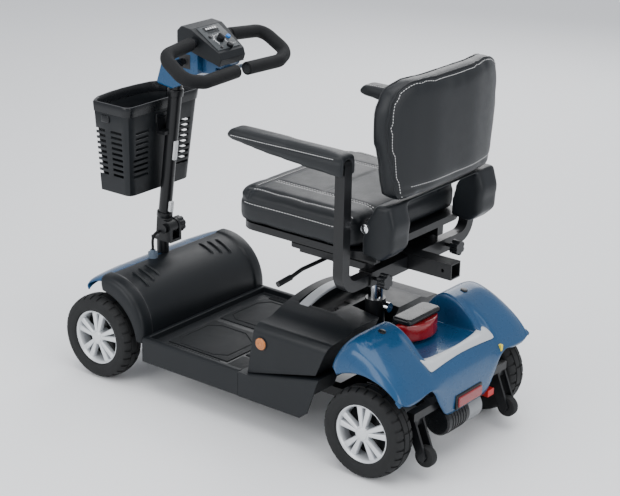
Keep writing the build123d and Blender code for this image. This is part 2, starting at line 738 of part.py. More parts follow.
with BuildPart() as front_cowl:
    add(cowl_block(0))
    chamfer(front_cowl.edges().filter_by(lambda e: abs(e.center().X) > body_half_width
                                         and e.center().Z > 170 and e.length > 80), 11)
    add(cowl_block(wall), mode=Mode.SUBTRACT)
    block(-400, 400, -600, deck_front_y, 0, deck_floor_z, mode=Mode.SUBTRACT)
    block(-well_inner_x, well_inner_x, -600, cowl_front_y + wall + 1, 0, well_ceiling + 24, mode=Mode.SUBTRACT)
    for side in (-1, 1):
        block(side * well_inner_x, side * 400, -600, cowl_front_y + wall + 1, 0, well_ceiling + 6,
              mode=Mode.SUBTRACT)
        rod((side * 190, front_axle_y, axle_z), (side * 400, front_axle_y, axle_z), wheel_radius + 18,
            mode=Mode.SUBTRACT)
    rod((0, front_axle_y, 60), (0, front_axle_y, 300), stem_radius + head_tube_wall + 3, mode=Mode.SUBTRACT)
write(front_cowl, "front_cowl")


def fender_block(inset):
    """Solid of the front fender and nose, or of its hollow when inset."""
    with BuildPart() as solid:
        with BuildSketch(side_plane(-body_half_width - 5 + inset)):
            with BuildLine():
                slope = ThreePointArc((cowl_front_y - gap, cowl_crest_z - 1), (nose_y + 17, 225), (nose_y, 180))
                Polyline(slope @ 1, (nose_y + 6, nose_bottom), (cowl_front_y - gap, nose_bottom), slope @ 0)
            make_face()
            if inset:
                offset(amount=-inset)
        extrude(amount=2 * (body_half_width + 5 - inset))
        with BuildSketch(Plane.XY):
            with BuildLine():
                edge = ThreePointArc((-body_half_width - 5, fender_tip_y + inset), (0, nose_y + inset),
                                     (body_half_width + 5, fender_tip_y + inset))
                Polyline(edge @ 1, (body_half_width + 5, -300), (-body_half_width - 5, -300), edge @ 0)
            make_face()
        extrude(amount=400, mode=Mode.INTERSECT)
    return solid.part


with BuildPart() as front_fender:
    add(fender_block(0))
    add(fender_block(wall), mode=Mode.SUBTRACT)
    block(-well_inner_x, well_inner_x, -445, cowl_front_y, 0, well_ceiling + 24, mode=Mode.SUBTRACT)
    for side in (-1, 1):
        block(side * well_inner_x, side * 400, -600, -300, 0, well_ceiling + 6, mode=Mode.SUBTRACT)
    rod((0, front_axle_y, 60), (0, front_axle_y, 300), stem_radius + head_tube_wall + 3, mode=Mode.SUBTRACT)
write(front_fender, "front_fender")

# ================================================================ cable from the body to the stem
plug_x, plug_y = 48.0, hinge_y - 14.0
plug_top = 276.0
cable_entry_z = 317.0
cable_radius = 3.5
cable_end_x = hinge_lug_half + gap + cheek_thick
with BuildPart() as cable_plug:
    rod((plug_x, plug_y, 240), (plug_x, plug_y, plug_top - 6), 12)
    rod((plug_x, plug_y, plug_top - 6), (plug_x, plug_y, plug_top), 7)
    add(cowl_block(0), mode=Mode.SUBTRACT)
    add(fender_block(0), mode=Mode.SUBTRACT)
write(cable_plug, "cable_plug")

with BuildPart() as tiller_cable:
    with BuildLine() as cable_path:
        FilletPolyline((plug_x, plug_y, plug_top), (plug_x, plug_y, cable_entry_z),
                       (cable_end_x, plug_y, cable_entry_z), radius=3.2 * 2 * cable_radius)
    with BuildSketch(Plane(origin=cable_path.line @ 0, z_dir=cable_path.line % 0)):
        Circle(cable_radius)
    sweep(path=cable_path.line)
write(tiller_cable, "tiller_cable")

# ================================================================ rear frame
with BuildPart() as rear_frame:
    for side in (-1, 1):
        x0, x1 = side * (rail_x - rail_width / 2), side * (rail_x + rail_width / 2)
        block(x0, x1, frame_split_y + gap, rail_rear_y, rail_bottom, rail_bottom + rail_height)
        block(x0, x1, rail_rear_y - 24, rail_rear_y, rail_bottom, upper_rail_bottom + upper_rail_height)
        block(x0, x1, rail_rear_y - 24, frame_tail_y, upper_rail_bottom, upper_rail_bottom + upper_rail_height)
    block(-rail_x, rail_x, frame_split_y + gap, frame_split_y + rail_width, rail_bottom,
          rail_bottom + rail_height)
    block(-rail_x, rail_x, socket_y - 26, socket_y + 26, rail_bottom, rail_bottom + rail_height)
    block(-tip_wheel_x - 20, tip_wheel_x + 20, frame_tail_y - 20, frame_tail_y, upper_rail_bottom,
          upper_rail_bottom + upper_rail_height)
    rod((0, socket_y, rail_bottom), (0, socket_y, socket_top), post_radius + socket_wall)
    rod((0, socket_y, socket_foot), (0, socket_y, 400), post_radius + running, mode=Mode.SUBTRACT)
    rod((0, socket_y, socket_top - 15), (0, socket_y + 60, socket_top - 15), 4 + running, mode=Mode.SUBTRACT)
write(rear_frame, "rear_frame")

with BuildPart() as post_lock_pin:
    start_y = socket_y + post_radius + 2
    rod((0, start_y, socket_top - 15), (0, socket_y + 34, socket_top - 15), 4)
    rod((0, socket_y + 30, socket_top - 15), (0, socket_y + 40, socket_top - 15), 11)
write(post_lock_pin, "post_lock_pin")

# ================================================================ transaxle, motor, freewheel lever
with BuildPart() as transaxle:
    rod((-axle_tube_half, rear_axle_y, axle_z), (axle_tube_half, rear_axle_y, axle_z), axle_tube_radius)
    rod((gearbox_x - gearbox_half, rear_axle_y, axle_z), (gearbox_x + gearbox_half, rear_axle_y, axle_z),
        gearbox_radius)
    rod((gearbox_x - gearbox_half, motor_y, motor_z), (gearbox_x + gearbox_half, motor_y, motor_z),
        motor_radius)
    block(gearbox_x - gearbox_half, gearbox_x + gearbox_half, rear_axle_y, motor_y, motor_z - 30, motor_z + 34)
    for side in (-1, 1):
        block(side * (rail_x - 8), side * (rail_x + 8), rear_axle_y - 15, rear_axle_y + 15, axle_z,
              upper_rail_bottom)
    block(-rail_x + 4, -rail_x + 12, rear_axle_y, rear_axle_y + 46, axle_z - 4, axle_z + 16)
    rod((-rail_x - 8, rear_axle_y + 38, axle_z + 7), (-rail_x + 6, rear_axle_y + 38, axle_z + 7), 4)
    rod((-200, rear_axle_y, axle_z), (200, rear_axle_y, axle_z), shaft_radius + running, mode=Mode.SUBTRACT)
write(transaxle, "transaxle")

with BuildPart() as drive_motor:
    rod((gearbox_x + gearbox_half, motor_y, motor_z), (motor_left_x, motor_y, motor_z), motor_radius)
    chamfer(drive_motor.edges().group_by(Axis.X)[-1], 4)
write(drive_motor, "drive_motor")

lever_y, lever_z = rear_axle_y + 38, axle_z + 7
with BuildPart() as freewheel_lever:
    rod((-rail_x - 4, lever_y, lever_z), (-rail_x + 3.6, lever_y, lever_z), 9)
    block(-rail_x - 4, -rail_x + 3.6, lever_y, lever_y + 40, lever_z - 6, lever_z + 4)
    block(-rail_x - 13, -rail_x + 11, lever_y + 38, lever_y + 66, lever_z - 10, lever_z + 6)
    rod((-rail_x - 20, lever_y, lever_z), (-rail_x + 20, lever_y, lever_z), 4 + running, mode=Mode.SUBTRACT)
write(freewheel_lever, "freewheel_lever")

# ================================================================ anti-tip arms and wheels
with BuildPart() as anti_tip_arms:
    for side in (-1, 1):
        for face in (-1, 1):
            near = side * tip_wheel_x + face * (tip_wheel_width / 2 + 1.5)
            with BuildSketch(side_plane(min(near, near + face * tip_arm_thick))):
                with BuildLine():
                    Polyline((frame_tail_y - 22, upper_rail_bottom), (frame_tail_y, upper_rail_bottom),
                             (tip_wheel_y + 10, tip_wheel_z + 4), (tip_wheel_y + 4, tip_wheel_z - 9),
                             (tip_wheel_y - 8, tip_wheel_z - 6), (frame_tail_y - 22, 120), close=True)
                make_face()
            extrude(amount=tip_arm_thick)
        reach = tip_wheel_width / 2 + 1.5 + tip_arm_thick
        block(side * tip_wheel_x - reach, side * tip_wheel_x + reach, frame_tail_y - 22, frame_tail_y - 2,
              upper_rail_bottom - 14, upper_rail_bottom)
        rod((side * tip_wheel_x - reach, tip_wheel_y, tip_wheel_z),
            (side * tip_wheel_x + reach, tip_wheel_y, tip_wheel_z), 4)
write(anti_tip_arms, "anti_tip_arms")

for side, name in ((1, "left"), (-1, "right")):
    with BuildPart() as tip_wheel:
        rod((side * tip_wheel_x - tip_wheel_width / 2, tip_wheel_y, tip_wheel_z),
            (side * tip_wheel_x + tip_wheel_width / 2, tip_wheel_y, tip_wheel_z), tip_wheel_radius)
        fillet(tip_wheel.edges(), 5)
        rod((side * tip_wheel_x - 30, tip_wheel_y, tip_wheel_z), (side * tip_wheel_x + 30, tip_wheel_y, tip_wheel_z),
            4 + running, mode=Mode.SUBTRACT)
    write(tip_wheel, f"anti_tip_wheel_{name}")

# ================================================================ rear shroud


def shroud_block(inset):
    """Solid of the rear shroud's outer shape, or of its hollow when inset."""
    with BuildPart() as solid:
        with BuildSketch(side_plane(-fender_half_width + inset)):
            with BuildLine():
                Polyline((shroud_front_y, 60), (shroud_front_y, 276), (shroud_front_y + 44, 312),
                         (shroud_front_y + 62, 314), (445, 262), (478, 240), (shroud_rear_y, 205),
                         (shroud_rear_y, 60), close=True)
            make_face()
            if inset:
                offset(amount=-inset)
        extrude(amount=2 * (fender_half_width - inset))
        with BuildSketch(front_plane(700)):
            with BuildLine():
                right = [(0, channel_floor_z), (channel_half_width, channel_floor_z),
                         (channel_half_width + 6, 316), (150, 320), (218, 302), (244, 278),
                         (fender_half_width, 244), (fender_half_width, 60)]
                left = [(-x, z) for x, z in reversed(right[1:])]
                Polyline(*right, *left, close=True)
            make_face()
            if inset:
                offset(amount=-inset)
        extrude(amount=700, mode=Mode.INTERSECT)
    return solid.part


with BuildPart() as rear_shroud:
    add(shroud_block(0))
    add(shroud_block(wall), mode=Mode.SUBTRACT)
    block(-fender_half_width + wall, fender_half_width - wall, 270, shroud_front_y + wall + 1,
          0, channel_floor_z - wall, mode=Mode.SUBTRACT)
    block(-400, 400, 200, 600, 0, panel_bottom_z, mode=Mode.SUBTRACT)
    for side in (-1, 1):
        block(side * (channel_half_width + 12), side * (fender_half_width - wall - 8), 270,
              shroud_front_y + wall + 1, 150, 262, mode=Mode.SUBTRACT)
        block(side * panel_half_width, side * 400, 200, 600, 0, 186, mode=Mode.SUBTRACT)
        block(side * 176, side * 400, 200, rear_axle_y, 0, 207, mode=Mode.SUBTRACT)
        block(side * 100, side * 186, 440, 600, 0, 203, mode=Mode.SUBTRACT)
        rod((side * arch_inner_x, rear_axle_y, axle_z), (side * 400, rear_axle_y, axle_z), arch_radius,
            mode=Mode.SUBTRACT)
write(rear_shroud, "rear_shroud")

with BuildPart() as rear_trim_strip:
    block(-channel_half_width + 3, channel_half_width - 3, 440, 474, channel_floor_z, channel_floor_z + 3)
write(rear_trim_strip, "rear_trim_strip")

with BuildPart() as rear_reflector:
    block(-46, 46, shroud_rear_y, shroud_rear_y + 6, 126, 150)
    fillet(rear_reflector.edges().filter_by(Axis.Y), 5)
write(rear_reflector, "rear_reflector")

with BuildPart() as tail_lamp_housing:
    block(-58, 58, lamp_y - 22, lamp_y + 26, channel_floor_z, lamp_bottom)
    block(-58, 58, lamp_y - 22, lamp_y - 6, lamp_bottom, lamp_top)
    block(-62, 62, lamp_y - 22, lamp_y + 30, lamp_top, lamp_top + 13)
    fillet(tail_lamp_housing.edges().filter_by(Axis.Z).filter_by(lambda e: e.center().Z > lamp_top), 10)
write(tail_lamp_housing, "tail_lamp_housing")

with BuildPart() as tail_lamp_lens:
    with BuildSketch(Plane.XY.offset(lamp_bottom)):
        with BuildLine():
            bow = ThreePointArc((-lamp_half_width, lamp_y - 6), (0, lamp_y + lamp_depth - 8),
                                (lamp_half_width, lamp_y - 6))
            Line(bow @ 1, bow @ 0)
        make_face()
    extrude(amount=lamp_top - lamp_bottom)
write(tail_lamp_lens, "tail_lamp_lens")

# ================================================================ seat post and swivel base
with BuildPart() as seat_post:
    rod((0, socket_y, post_bottom), (0, socket_y, post_top - gap), post_radius)
write(seat_post, "seat_post")

hub_outer = 28.0
lever_pivot_x, swivel_lever_y, swivel_lever_z = 59.0, 174.0, 406.0
with BuildPart() as seat_base:
    rod((0, socket_y, 344), (0, socket_y, plate_z), hub_outer)
    block(-slide_x - slide_width / 2, slide_x + slide_width / 2, 132, cross_y - cross_tube / 2,
          plate_z, plate_z + plate_thick)
    block(-cross_half, cross_half, cross_y - cross_tube / 2, cross_y + cross_tube / 2,
          plate_z + plate_thick - cross_tube, plate_z + plate_thick)
    block(-accessory_tube / 2, accessory_tube / 2, cross_y, accessory_end_y,
          accessory_z - accessory_tube / 2, accessory_z + accessory_tube / 2)
    for side in (-1, 1):
        block(side * slide_x - slide_width / 2, side * slide_x + slide_width / 2, 116, 306,
              plate_z + plate_thick, plate_z + plate_thick + slide_height)
        for end_y in (116, 306):
            rod((side * slide_x, end_y, plate_z + plate_thick),
                (side * slide_x, end_y, plate_z + plate_thick + slide_height), slide_width / 2)
    for cheek in (swivel_lever_y - 12, swivel_lever_y + 6):
        block(lever_pivot_x - 9, lever_pivot_x + 9, cheek, cheek + 6, swivel_lever_z - 9, plate_z)
    rod((lever_pivot_x, swivel_lever_y - 12, swivel_lever_z), (lever_pivot_x, swivel_lever_y + 12, swivel_lever_z),
        3)
    rod((0, socket_y, 300), (0, socket_y, post_top), post_radius + running, mode=Mode.SUBTRACT)
    tube_inner = cross_tube / 2 - 3
    cross_z = plate_z + plate_thick - cross_tube / 2
    block(-cross_half - 5, cross_half + 5, cross_y - tube_inner, cross_y + tube_inner,
          cross_z - tube_inner, cross_z + tube_inner, mode=Mode.SUBTRACT)
    socket_half = accessory_tube / 2 - accessory_wall
    block(-socket_half, socket_half, cross_y + cross_tube / 2, accessory_end_y + 5,
          accessory_z - socket_half, accessory_z + socket_half, mode=Mode.SUBTRACT)
    rod((0, accessory_end_y - 22, accessory_z), (accessory_tube, accessory_end_y - 22, accessory_z), 4,
        mode=Mode.SUBTRACT)
    for side in (-1, 1):
        rod((side * 138, cross_y, cross_z), (side * 138, cross_y + 60, cross_z), 4, mode=Mode.SUBTRACT)
write(seat_base, "seat_base")

with BuildPart() as clamp_knobs:
    for side in (-1, 1):
        shank_start = cross_y + tube_inner + 0.2
        rod((side * 138, shank_start, cross_z), (side * 138, cross_y + 34, cross_z), 4 - running)
        with BuildSketch(front_plane(cross_y + 52)):
            with Locations((side * 138, cross_z)):
                Circle(17)
                with PolarLocations(19, 6):
                    Circle(5, mode=Mode.SUBTRACT)
        extrude(amount=20)
write(clamp_knobs, "clamp_knobs")

with BuildPart() as swivel_lever:
    rod((lever_pivot_x, swivel_lever_y - 5.6, swivel_lever_z), (lever_pivot_x, swivel_lever_y + 5.6, swivel_lever_z),
        8)
    rod((lever_pivot_x, swivel_lever_y, swivel_lever_z), (180, swivel_lever_y, swivel_lever_z - 2), 4.5)
    with Locations((180, swivel_lever_y, swivel_lever_z - 2)):
        Sphere(4.5)
    rod((180, swivel_lever_y, swivel_lever_z - 2), (215, swivel_lever_y - 5, swivel_lever_z - 13), 4.5)
    rod((212, swivel_lever_y - 4.6, swivel_lever_z - 12), (250, swivel_lever_y - 10, swivel_lever_z - 19), 6.5)
    rod((lever_pivot_x, 100, swivel_lever_z), (lever_pivot_x, 260, swivel_lever_z), 3 + running,
        mode=Mode.SUBTRACT)
write(swivel_lever, "swivel_lever")

# ================================================================ sliding seat pan and cushion
rail_top = plate_z + plate_thick + slide_height + gap
with BuildPart() as seat_pan:
    with BuildSketch(Plane.XY.offset(board_bottom)):
        with Locations((0, (cushion_front_y + 16 + 345) / 2)):
            RectangleRounded(2 * board_half_width, 345 - cushion_front_y - 16, 45)
    extrude(amount=board_thick)
    for side in (-1, 1):
        block(side * slide_x - 11, side * slide_x + 11, 60, 330, rail_top, board_bottom)
        x0 = side * bracket_x
        x1 = side * (bracket_x + bracket_thick)
        block(x0, x1, fold_y - 17, fold_y + 17, board_bottom, fold_z)
        block(x0, x1, fold_y - 40, fold_y + 17, board_bottom, board_bottom + board_thick)
        rod((x0, fold_y, fold_z), (x1, fold_y, fold_z), 17)
        rod((x0, fold_y, fold_z), (side * (bracket_x + 20), fold_y, fold_z), fold_pin_radius)
write(seat_pan, "seat_pan")

with BuildPart() as seat_cushion:
    with BuildSketch(Plane.XY.offset(board_bottom + board_thick)):
        with Locations((0, (cushion_front_y + cushion_rear_y) / 2)):
            RectangleRounded(2 * cushion_half_width, cushion_rear_y - cushion_front_y, 55)
    extrude(amount=cushion_top - board_bottom - board_thick)
    fillet(seat_cushion.edges().group_by(Axis.Z)[-1], 20)
write(seat_cushion, "seat_cushion")

# ================================================================ folding backrest
boot_side = [(fold_y - 7, 487), (fold_y - 7, 520), (fold_y + 2, 562), (fold_y + 25, 601), (fold_y + 58, 601),
             (fold_y + 70, 560), (fold_y + 66, 505), (fold_y + 40, 480)]
with BuildPart() as backrest_frame:
    for side in (-1, 1):
        low_x = boot_inner_x if side > 0 else -boot_outer_x
        with BuildSketch(side_plane(low_x)):
            with BuildLine():
                Polyline(*boot_side, close=True)
            make_face()
        extrude(amount=boot_outer_x - boot_inner_x)
    fillet(backrest_frame.edges().filter_by(lambda e: e.center().Y > fold_y + 30 and e.center().Z < 598), 9)
    for side in (-1, 1):
        low_x = (boot_inner_x if side > 0 else -boot_outer_x) + wall
        with BuildSketch(side_plane(low_x)):
            with BuildLine():
                Polyline(*boot_side, close=True)
            make_face()
            offset(amount=-wall)
        extrude(amount=boot_outer_x - boot_inner_x - 2 * wall, mode=Mode.SUBTRACT)
        block(side * (boot_inner_x + wall), side * (boot_outer_x - wall), 300, fold_y + 22, 460, 590,
              mode=Mode.SUBTRACT)
    for side in (-1, 1):
        x0 = side * (bracket_x + bracket_thick + gap)
        x1 = side * (bracket_x + bracket_thick + gap + 6)
        rod((x0, fold_y, fold_z), (x1, fold_y, fold_z), 16)
        with BuildSketch(side_plane(min(x0, x1))):
            with BuildLine():
                Polyline((fold_y - 12, fold_z + 10), (fold_y + 34, 600), (fold_y + 56, 600), (fold_y + 12, fold_z - 8),
                         close=True)
            make_face()
        extrude(amount=6)
        rod((side * 150, fold_y, fold_z), (side * 199, fold_y, fold_z), fold_pin_radius + running,
            mode=Mode.SUBTRACT)
    block(-190, 190, fold_y + 38, fold_y + 60, 596, back_bottom)
write(backrest_frame, "backrest_frame")

back_stations = [-back_half_width, -0.7 * back_half_width, -0.35 * back_half_width, 0.35 * back_half_width,
                 0.7 * back_half_width, back_half_width]


def back_rear(x):
    """Rear face of the backrest, bowed backwards in the middle."""
    return back_rear_mid_y - (back_rear_mid_y - back_rear_side_y) * (x / back_half_width) ** 2


with BuildPart() as backrest_cushion:
    with BuildSketch(Plane.XY.offset(back_bottom)):
        with BuildLine():
            rear_points = [(x, back_rear(x)) for x in back_stations]
            front_points = [(x, back_rear(x) - back_thick) for x in reversed(back_stations)]
            Polyline(*rear_points, *front_points, close=True)
        make_face()
    extrude(amount=back_top - back_bottom)
    with BuildSketch(front_plane(700)):
        with BuildLine():
            Polyline((-178, back_bottom), (178, back_bottom), (back_half_width, 740),
                     (back_half_width, back_top - 60), (back_half_width - 18, back_top - 18),
                     (back_half_width - 60, back_top), (60 - back_half_width, back_top),
                     (18 - back_half_width, back_top - 18), (-back_half_width, back_top - 60),
                     (-back_half_width, 740), close=True)
        make_face()
    extrude(amount=700, mode=Mode.INTERSECT)
write(backrest_cushion, "backrest_cushion")

# ================================================================ armrests
for side, name in ((1, "left"), (-1, "right")):
    with BuildPart() as arm:
        with BuildLine() as path:
            FilletPolyline((side * 60, cross_y, cross_z), (side * arm_x, cross_y, cross_z),
                           (side * arm_x, cross_y, arm_pin_z), radius=arm_bend_radius)
        with BuildSketch(Plane(origin=path.line @ 0, z_dir=path.line % 0)):
            Rectangle(arm_tube, arm_tube)
        sweep(path=path.line)
        rod((side * arm_x - arm_tube / 2, cross_y, arm_pin_z), (side * arm_x + arm_tube / 2, cross_y, arm_pin_z),
            arm_tube / 2)
        rod((side * arm_x - 50, cross_y, arm_pin_z), (side * arm_x + 50, cross_y, arm_pin_z),
            arm_pin_radius + running, mode=Mode.SUBTRACT)
    write(arm, f"armrest_tube_{name}")

    with BuildPart() as pad:
        with BuildSketch(side_plane(side * arm_x - pad_width / 2)):
            with BuildLine():
                Polyline((pad_front_y, pad_top_z - 16), (pad_front_y + 12, pad_top_z), (pad_rear_y - 8, pad_top_z - 2),
                         (pad_rear_y, pad_top_z - 12), (pad_rear_y, 662), (250, 666), (130, pad_bottom_z),
                         (pad_front_y + 6, pad_top_z - 24), close=True)
            make_face()
        extrude(amount=pad_width)
        fillet(pad.edges().group_by(Axis.Z)[-1], 8)
        slot = arm_tube / 2 + slip
        block(side * arm_x - slot, side * arm_x + slot, cross_y - arm_tube / 2 - 1.5, 400, 600,
              arm_pin_z + arm_tube / 2 + 1.5, mode=Mode.SUBTRACT)
        rod((side * arm_x - pad_width / 2 + 3, cross_y, arm_pin_z),
            (side * arm_x + pad_width / 2 - 3, cross_y, arm_pin_z), arm_pin_radius)
    write(pad, f"armrest_pad_{name}")
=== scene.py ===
# %% [markdown]
# # A travel mobility scooter, dressed in Blender
# The CAD frame gives every working piece its true place. This lesson adds what the eye
# wants on top of it: treaded tyres, moulded panels, stitched vinyl and the small controls.
# Each piece is made in place, in metres, and then told which moving body carries it.

# %% Load the frame
from math import cos, exp, pi, radians, sin, sqrt
import bmesh
import bpy
from mathutils import Matrix, Vector
from mathutils.bvhtree import BVHTree


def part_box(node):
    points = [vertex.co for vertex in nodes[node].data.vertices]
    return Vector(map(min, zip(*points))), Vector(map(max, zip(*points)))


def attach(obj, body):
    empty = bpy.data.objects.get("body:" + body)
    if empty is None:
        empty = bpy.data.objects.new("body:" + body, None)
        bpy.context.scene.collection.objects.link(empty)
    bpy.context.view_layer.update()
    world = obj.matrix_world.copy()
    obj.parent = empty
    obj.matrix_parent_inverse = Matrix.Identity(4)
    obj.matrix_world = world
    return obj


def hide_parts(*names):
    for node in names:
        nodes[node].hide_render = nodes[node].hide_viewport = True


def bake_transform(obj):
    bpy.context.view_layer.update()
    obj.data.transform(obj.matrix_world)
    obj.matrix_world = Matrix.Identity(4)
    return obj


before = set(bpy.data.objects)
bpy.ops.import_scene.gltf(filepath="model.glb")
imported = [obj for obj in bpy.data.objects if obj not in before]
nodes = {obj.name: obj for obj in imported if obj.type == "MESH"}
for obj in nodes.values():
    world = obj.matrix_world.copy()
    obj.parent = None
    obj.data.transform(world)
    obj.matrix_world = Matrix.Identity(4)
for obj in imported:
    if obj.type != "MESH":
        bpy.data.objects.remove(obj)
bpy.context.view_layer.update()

scene = bpy.context.scene
MM = 0.001


def at(x, y, z):
    """A point given in millimetres."""
    return Vector((x, y, z)) * MM


# %% [markdown]
# ## Camera, light and floor
# A product picture wants a long lens, a pale floor and big soft lights. The camera stands
# behind the rider's left shoulder, a little above the seat. Three area lights are enough:
# a large one overhead, one from the camera's side and one that draws the far edges.

# %% The camera
camera_spot = at(2977.9, 2352.2, 1765.3)
aim_spot = at(64.5, 106.2, 404.4)
roll = radians(1.1)
back = (camera_spot - aim_spot).normalized()
level_right = Vector((0, 0, 1)).cross(back).normalized()
level_up = back.cross(level_right)
right = cos(roll) * level_right + sin(roll) * level_up
up = cos(roll) * level_up - sin(roll) * level_right
camera = bpy.data.objects.new("camera", bpy.data.cameras.new("camera"))
camera.matrix_world = Matrix((
    (right.x, up.x, back.x, camera_spot.x),
    (right.y, up.y, back.y, camera_spot.y),
    (right.z, up.z, back.z, camera_spot.z),
    (0, 0, 0, 1)))
camera.data.lens = 101.98
camera.data.sensor_width = 36.0
camera.data.sensor_fit = "HORIZONTAL"
camera.data.clip_end = 100
scene.collection.objects.link(camera)
scene.camera = camera
print("camera distance", round((camera_spot - aim_spot).length, 3), "m")


# %% Lights and floor
def soft_light(name, place, power, size):
    """A square area light that looks at the middle of the scooter."""
    light = bpy.data.lights.new(name, "AREA")
    light.energy = power
    light.size = size
    lamp = bpy.data.objects.new(name, light)
    lamp.location = place
    lamp.rotation_euler = (Vector((0, 0, 0.4)) - Vector(place)).to_track_quat("-Z", "Y").to_euler()
    scene.collection.objects.link(lamp)


soft_light("overhead", (0.3, 0.4, 3.4), 95, 3.2)
soft_light("camera_side", (3.2, -0.8, 1.9), 62, 2.2)
soft_light("rear_side", (0.6, 3.4, 1.6), 42, 2.0)
soft_light("far_edge", (-3.0, -1.2, 2.0), 40, 2.0)

world = bpy.data.worlds.new("studio")
world.use_nodes = True
world.node_tree.nodes["Background"].inputs["Color"].default_value = (0.93, 0.95, 1.0, 1)
world.node_tree.nodes["Background"].inputs["Strength"].default_value = 0.85
scene.world = world

floor_bm = bmesh.new()
bmesh.ops.create_grid(floor_bm, x_segments=1, y_segments=1, size=14.0)
floor_mesh = bpy.data.meshes.new("floor")
floor_bm.to_mesh(floor_mesh)
floor_bm.free()
floor = bpy.data.objects.new("floor", floor_mesh)
scene.collection.objects.link(floor)
floor_paint = bpy.data.materials.new("floor_paint")
floor_paint.use_nodes = True
floor_paint.node_tree.nodes["Principled BSDF"].inputs["Base Color"].default_value = (0.86, 0.87, 0.88, 1)
floor_paint.node_tree.nodes["Principled BSDF"].inputs["Roughness"].default_value = 0.75
floor_mesh.materials.append(floor_paint)
print("four lights and a floor")

# %% [markdown]
# ## Finishes
# Nothing on a real scooter is one flat colour. Each finish here starts from a plain shader
# and gets three things from noise: a slow drift of colour, patches of roughness, and a fine
# bump of the right size for grain, leather or cast metal. Object coordinates keep the
# pattern fixed to the piece in metres, so a scale of 900 is a grain of about a millimetre.


# %% One maker for all finishes
def make_finish(name, colour, rough, metal=0.0, drift=0.12, drift_size=9.0, grain=0.12,
                grain_size=900.0, pattern="noise", stretch=(1, 1, 1), coat=0.0, sheen=0.0, shine=0.5):
    """A shader with drifting colour, uneven roughness and a fine bump."""
    finish = bpy.data.materials.new(name)
    finish.use_nodes = True
    tree = finish.node_tree
    shader = tree.nodes["Principled BSDF"]
    shader.inputs["Metallic"].default_value = metal
    shader.inputs["Coat Weight"].default_value = coat
    shader.inputs["Coat Roughness"].default_value = 0.06
    shader.inputs["Sheen Weight"].default_value = sheen
    shader.inputs["Specular IOR Level"].default_value = shine
    place = tree.nodes.new("ShaderNodeTexCoord")
    mapping = tree.nodes.new("ShaderNodeMapping")
    mapping.inputs["Scale"].default_value = stretch
    tree.links.new(place.outputs["Object"], mapping.inputs["Vector"])

    cloud = tree.nodes.new("ShaderNodeTexNoise")
    cloud.inputs["Scale"].default_value = drift_size
    cloud.inputs["Detail"].default_value = 4.0
    tree.links.new(mapping.outputs["Vector"], cloud.inputs["Vector"])
    shade = tree.nodes.new("ShaderNodeMix")
    shade.data_type = "RGBA"
    shade.inputs["A"].default_value = [c * (1 - drift) for c in colour] + [1]
    shade.inputs["B"].default_value = [min(1, c * (1 + drift)) for c in colour] + [1]
    tree.links.new(cloud.outputs["Fac"], shade.inputs["Factor"])
    tree.links.new(shade.outputs["Result"], shader.inputs["Base Color"])

    patch = tree.nodes.new("ShaderNodeTexNoise")
    patch.inputs["Scale"].default_value = drift_size * 5
    tree.links.new(mapping.outputs["Vector"], patch.inputs["Vector"])
    spread = tree.nodes.new("ShaderNodeMapRange")
    spread.inputs["To Min"].default_value = max(0.02, rough - 0.07)
    spread.inputs["To Max"].default_value = min(1.0, rough + 0.07)
    tree.links.new(patch.outputs["Fac"], spread.inputs["Value"])
    tree.links.new(spread.outputs["Result"], shader.inputs["Roughness"])

    if pattern == "noise":
        fine = tree.nodes.new("ShaderNodeTexNoise")
        height = fine.outputs["Fac"]
    else:
        fine = tree.nodes.new("ShaderNodeTexVoronoi")
        fine.feature = "DISTANCE_TO_EDGE" if pattern == "cells" else "F1"
        height = fine.outputs["Distance"]
    fine.inputs["Scale"].default_value = grain_size
    tree.links.new(mapping.outputs["Vector"], fine.inputs["Vector"])
    bump = tree.nodes.new("ShaderNodeBump")
    bump.inputs["Strength"].default_value = grain
    bump.inputs["Distance"].default_value = 0.0006
    tree.links.new(height, bump.inputs["Height"])
    tree.links.new(bump.outputs["Normal"], shader.inputs["Normal"])
    return finish


# %% The set of finishes
blue_paint = make_finish("blue_paint", (0.005, 0.053, 0.135), 0.28, metal=0.1, drift=0.10, grain=0.015,
                         grain_size=700, coat=0.3, shine=0.3)
black_moulding = make_finish("black_moulding", (0.0060, 0.0076, 0.0094), 0.40, drift=0.2, grain=0.2,
                             grain_size=1500, shine=0.26)
gloss_moulding = make_finish("gloss_moulding", (0.007, 0.008, 0.0095), 0.26, grain=0.06, grain_size=1100, shine=0.3)
mat_rubber = make_finish("mat_rubber", (0.011, 0.0125, 0.014), 0.6, drift=0.2, grain=0.4, grain_size=1300,
                         pattern="dots", shine=0.25)
black_paint = make_finish("black_paint", (0.006, 0.0065, 0.0075), 0.34, grain=0.12, grain_size=1400,
                          coat=0.1, shine=0.25)
silver_moulding = make_finish("silver_moulding", (0.50, 0.52, 0.54), 0.4, metal=0.25, drift=0.04, grain=0.12,
                              grain_size=1800)
wheel_silver = make_finish("wheel_silver", (0.66, 0.68, 0.70), 0.36, metal=0.45, drift=0.04, grain=0.06,
                           grain_size=1800, coat=0.4)
tyre_rubber = make_finish("tyre_rubber", (0.0115, 0.012, 0.0125), 0.68, drift=0.3, drift_size=24, grain=0.35,
                          grain_size=800, shine=0.25)
leather_vinyl = make_finish("leather_vinyl", (0.0058, 0.0074, 0.0092), 0.40, drift=0.2, grain=0.5,
                            grain_size=430, pattern="cells", shine=0.3)
foam_grip = make_finish("foam_grip", (0.0075, 0.008, 0.009), 0.72, grain=0.7, grain_size=900, pattern="dots",
                        shine=0.22)
chrome = make_finish("chrome", (0.72, 0.73, 0.75), 0.09, metal=1.0, drift=0.03, grain=0.02)
steel = make_finish("steel", (0.42, 0.42, 0.43), 0.34, metal=1.0, grain=0.2, grain_size=300, stretch=(1, 1, 6))
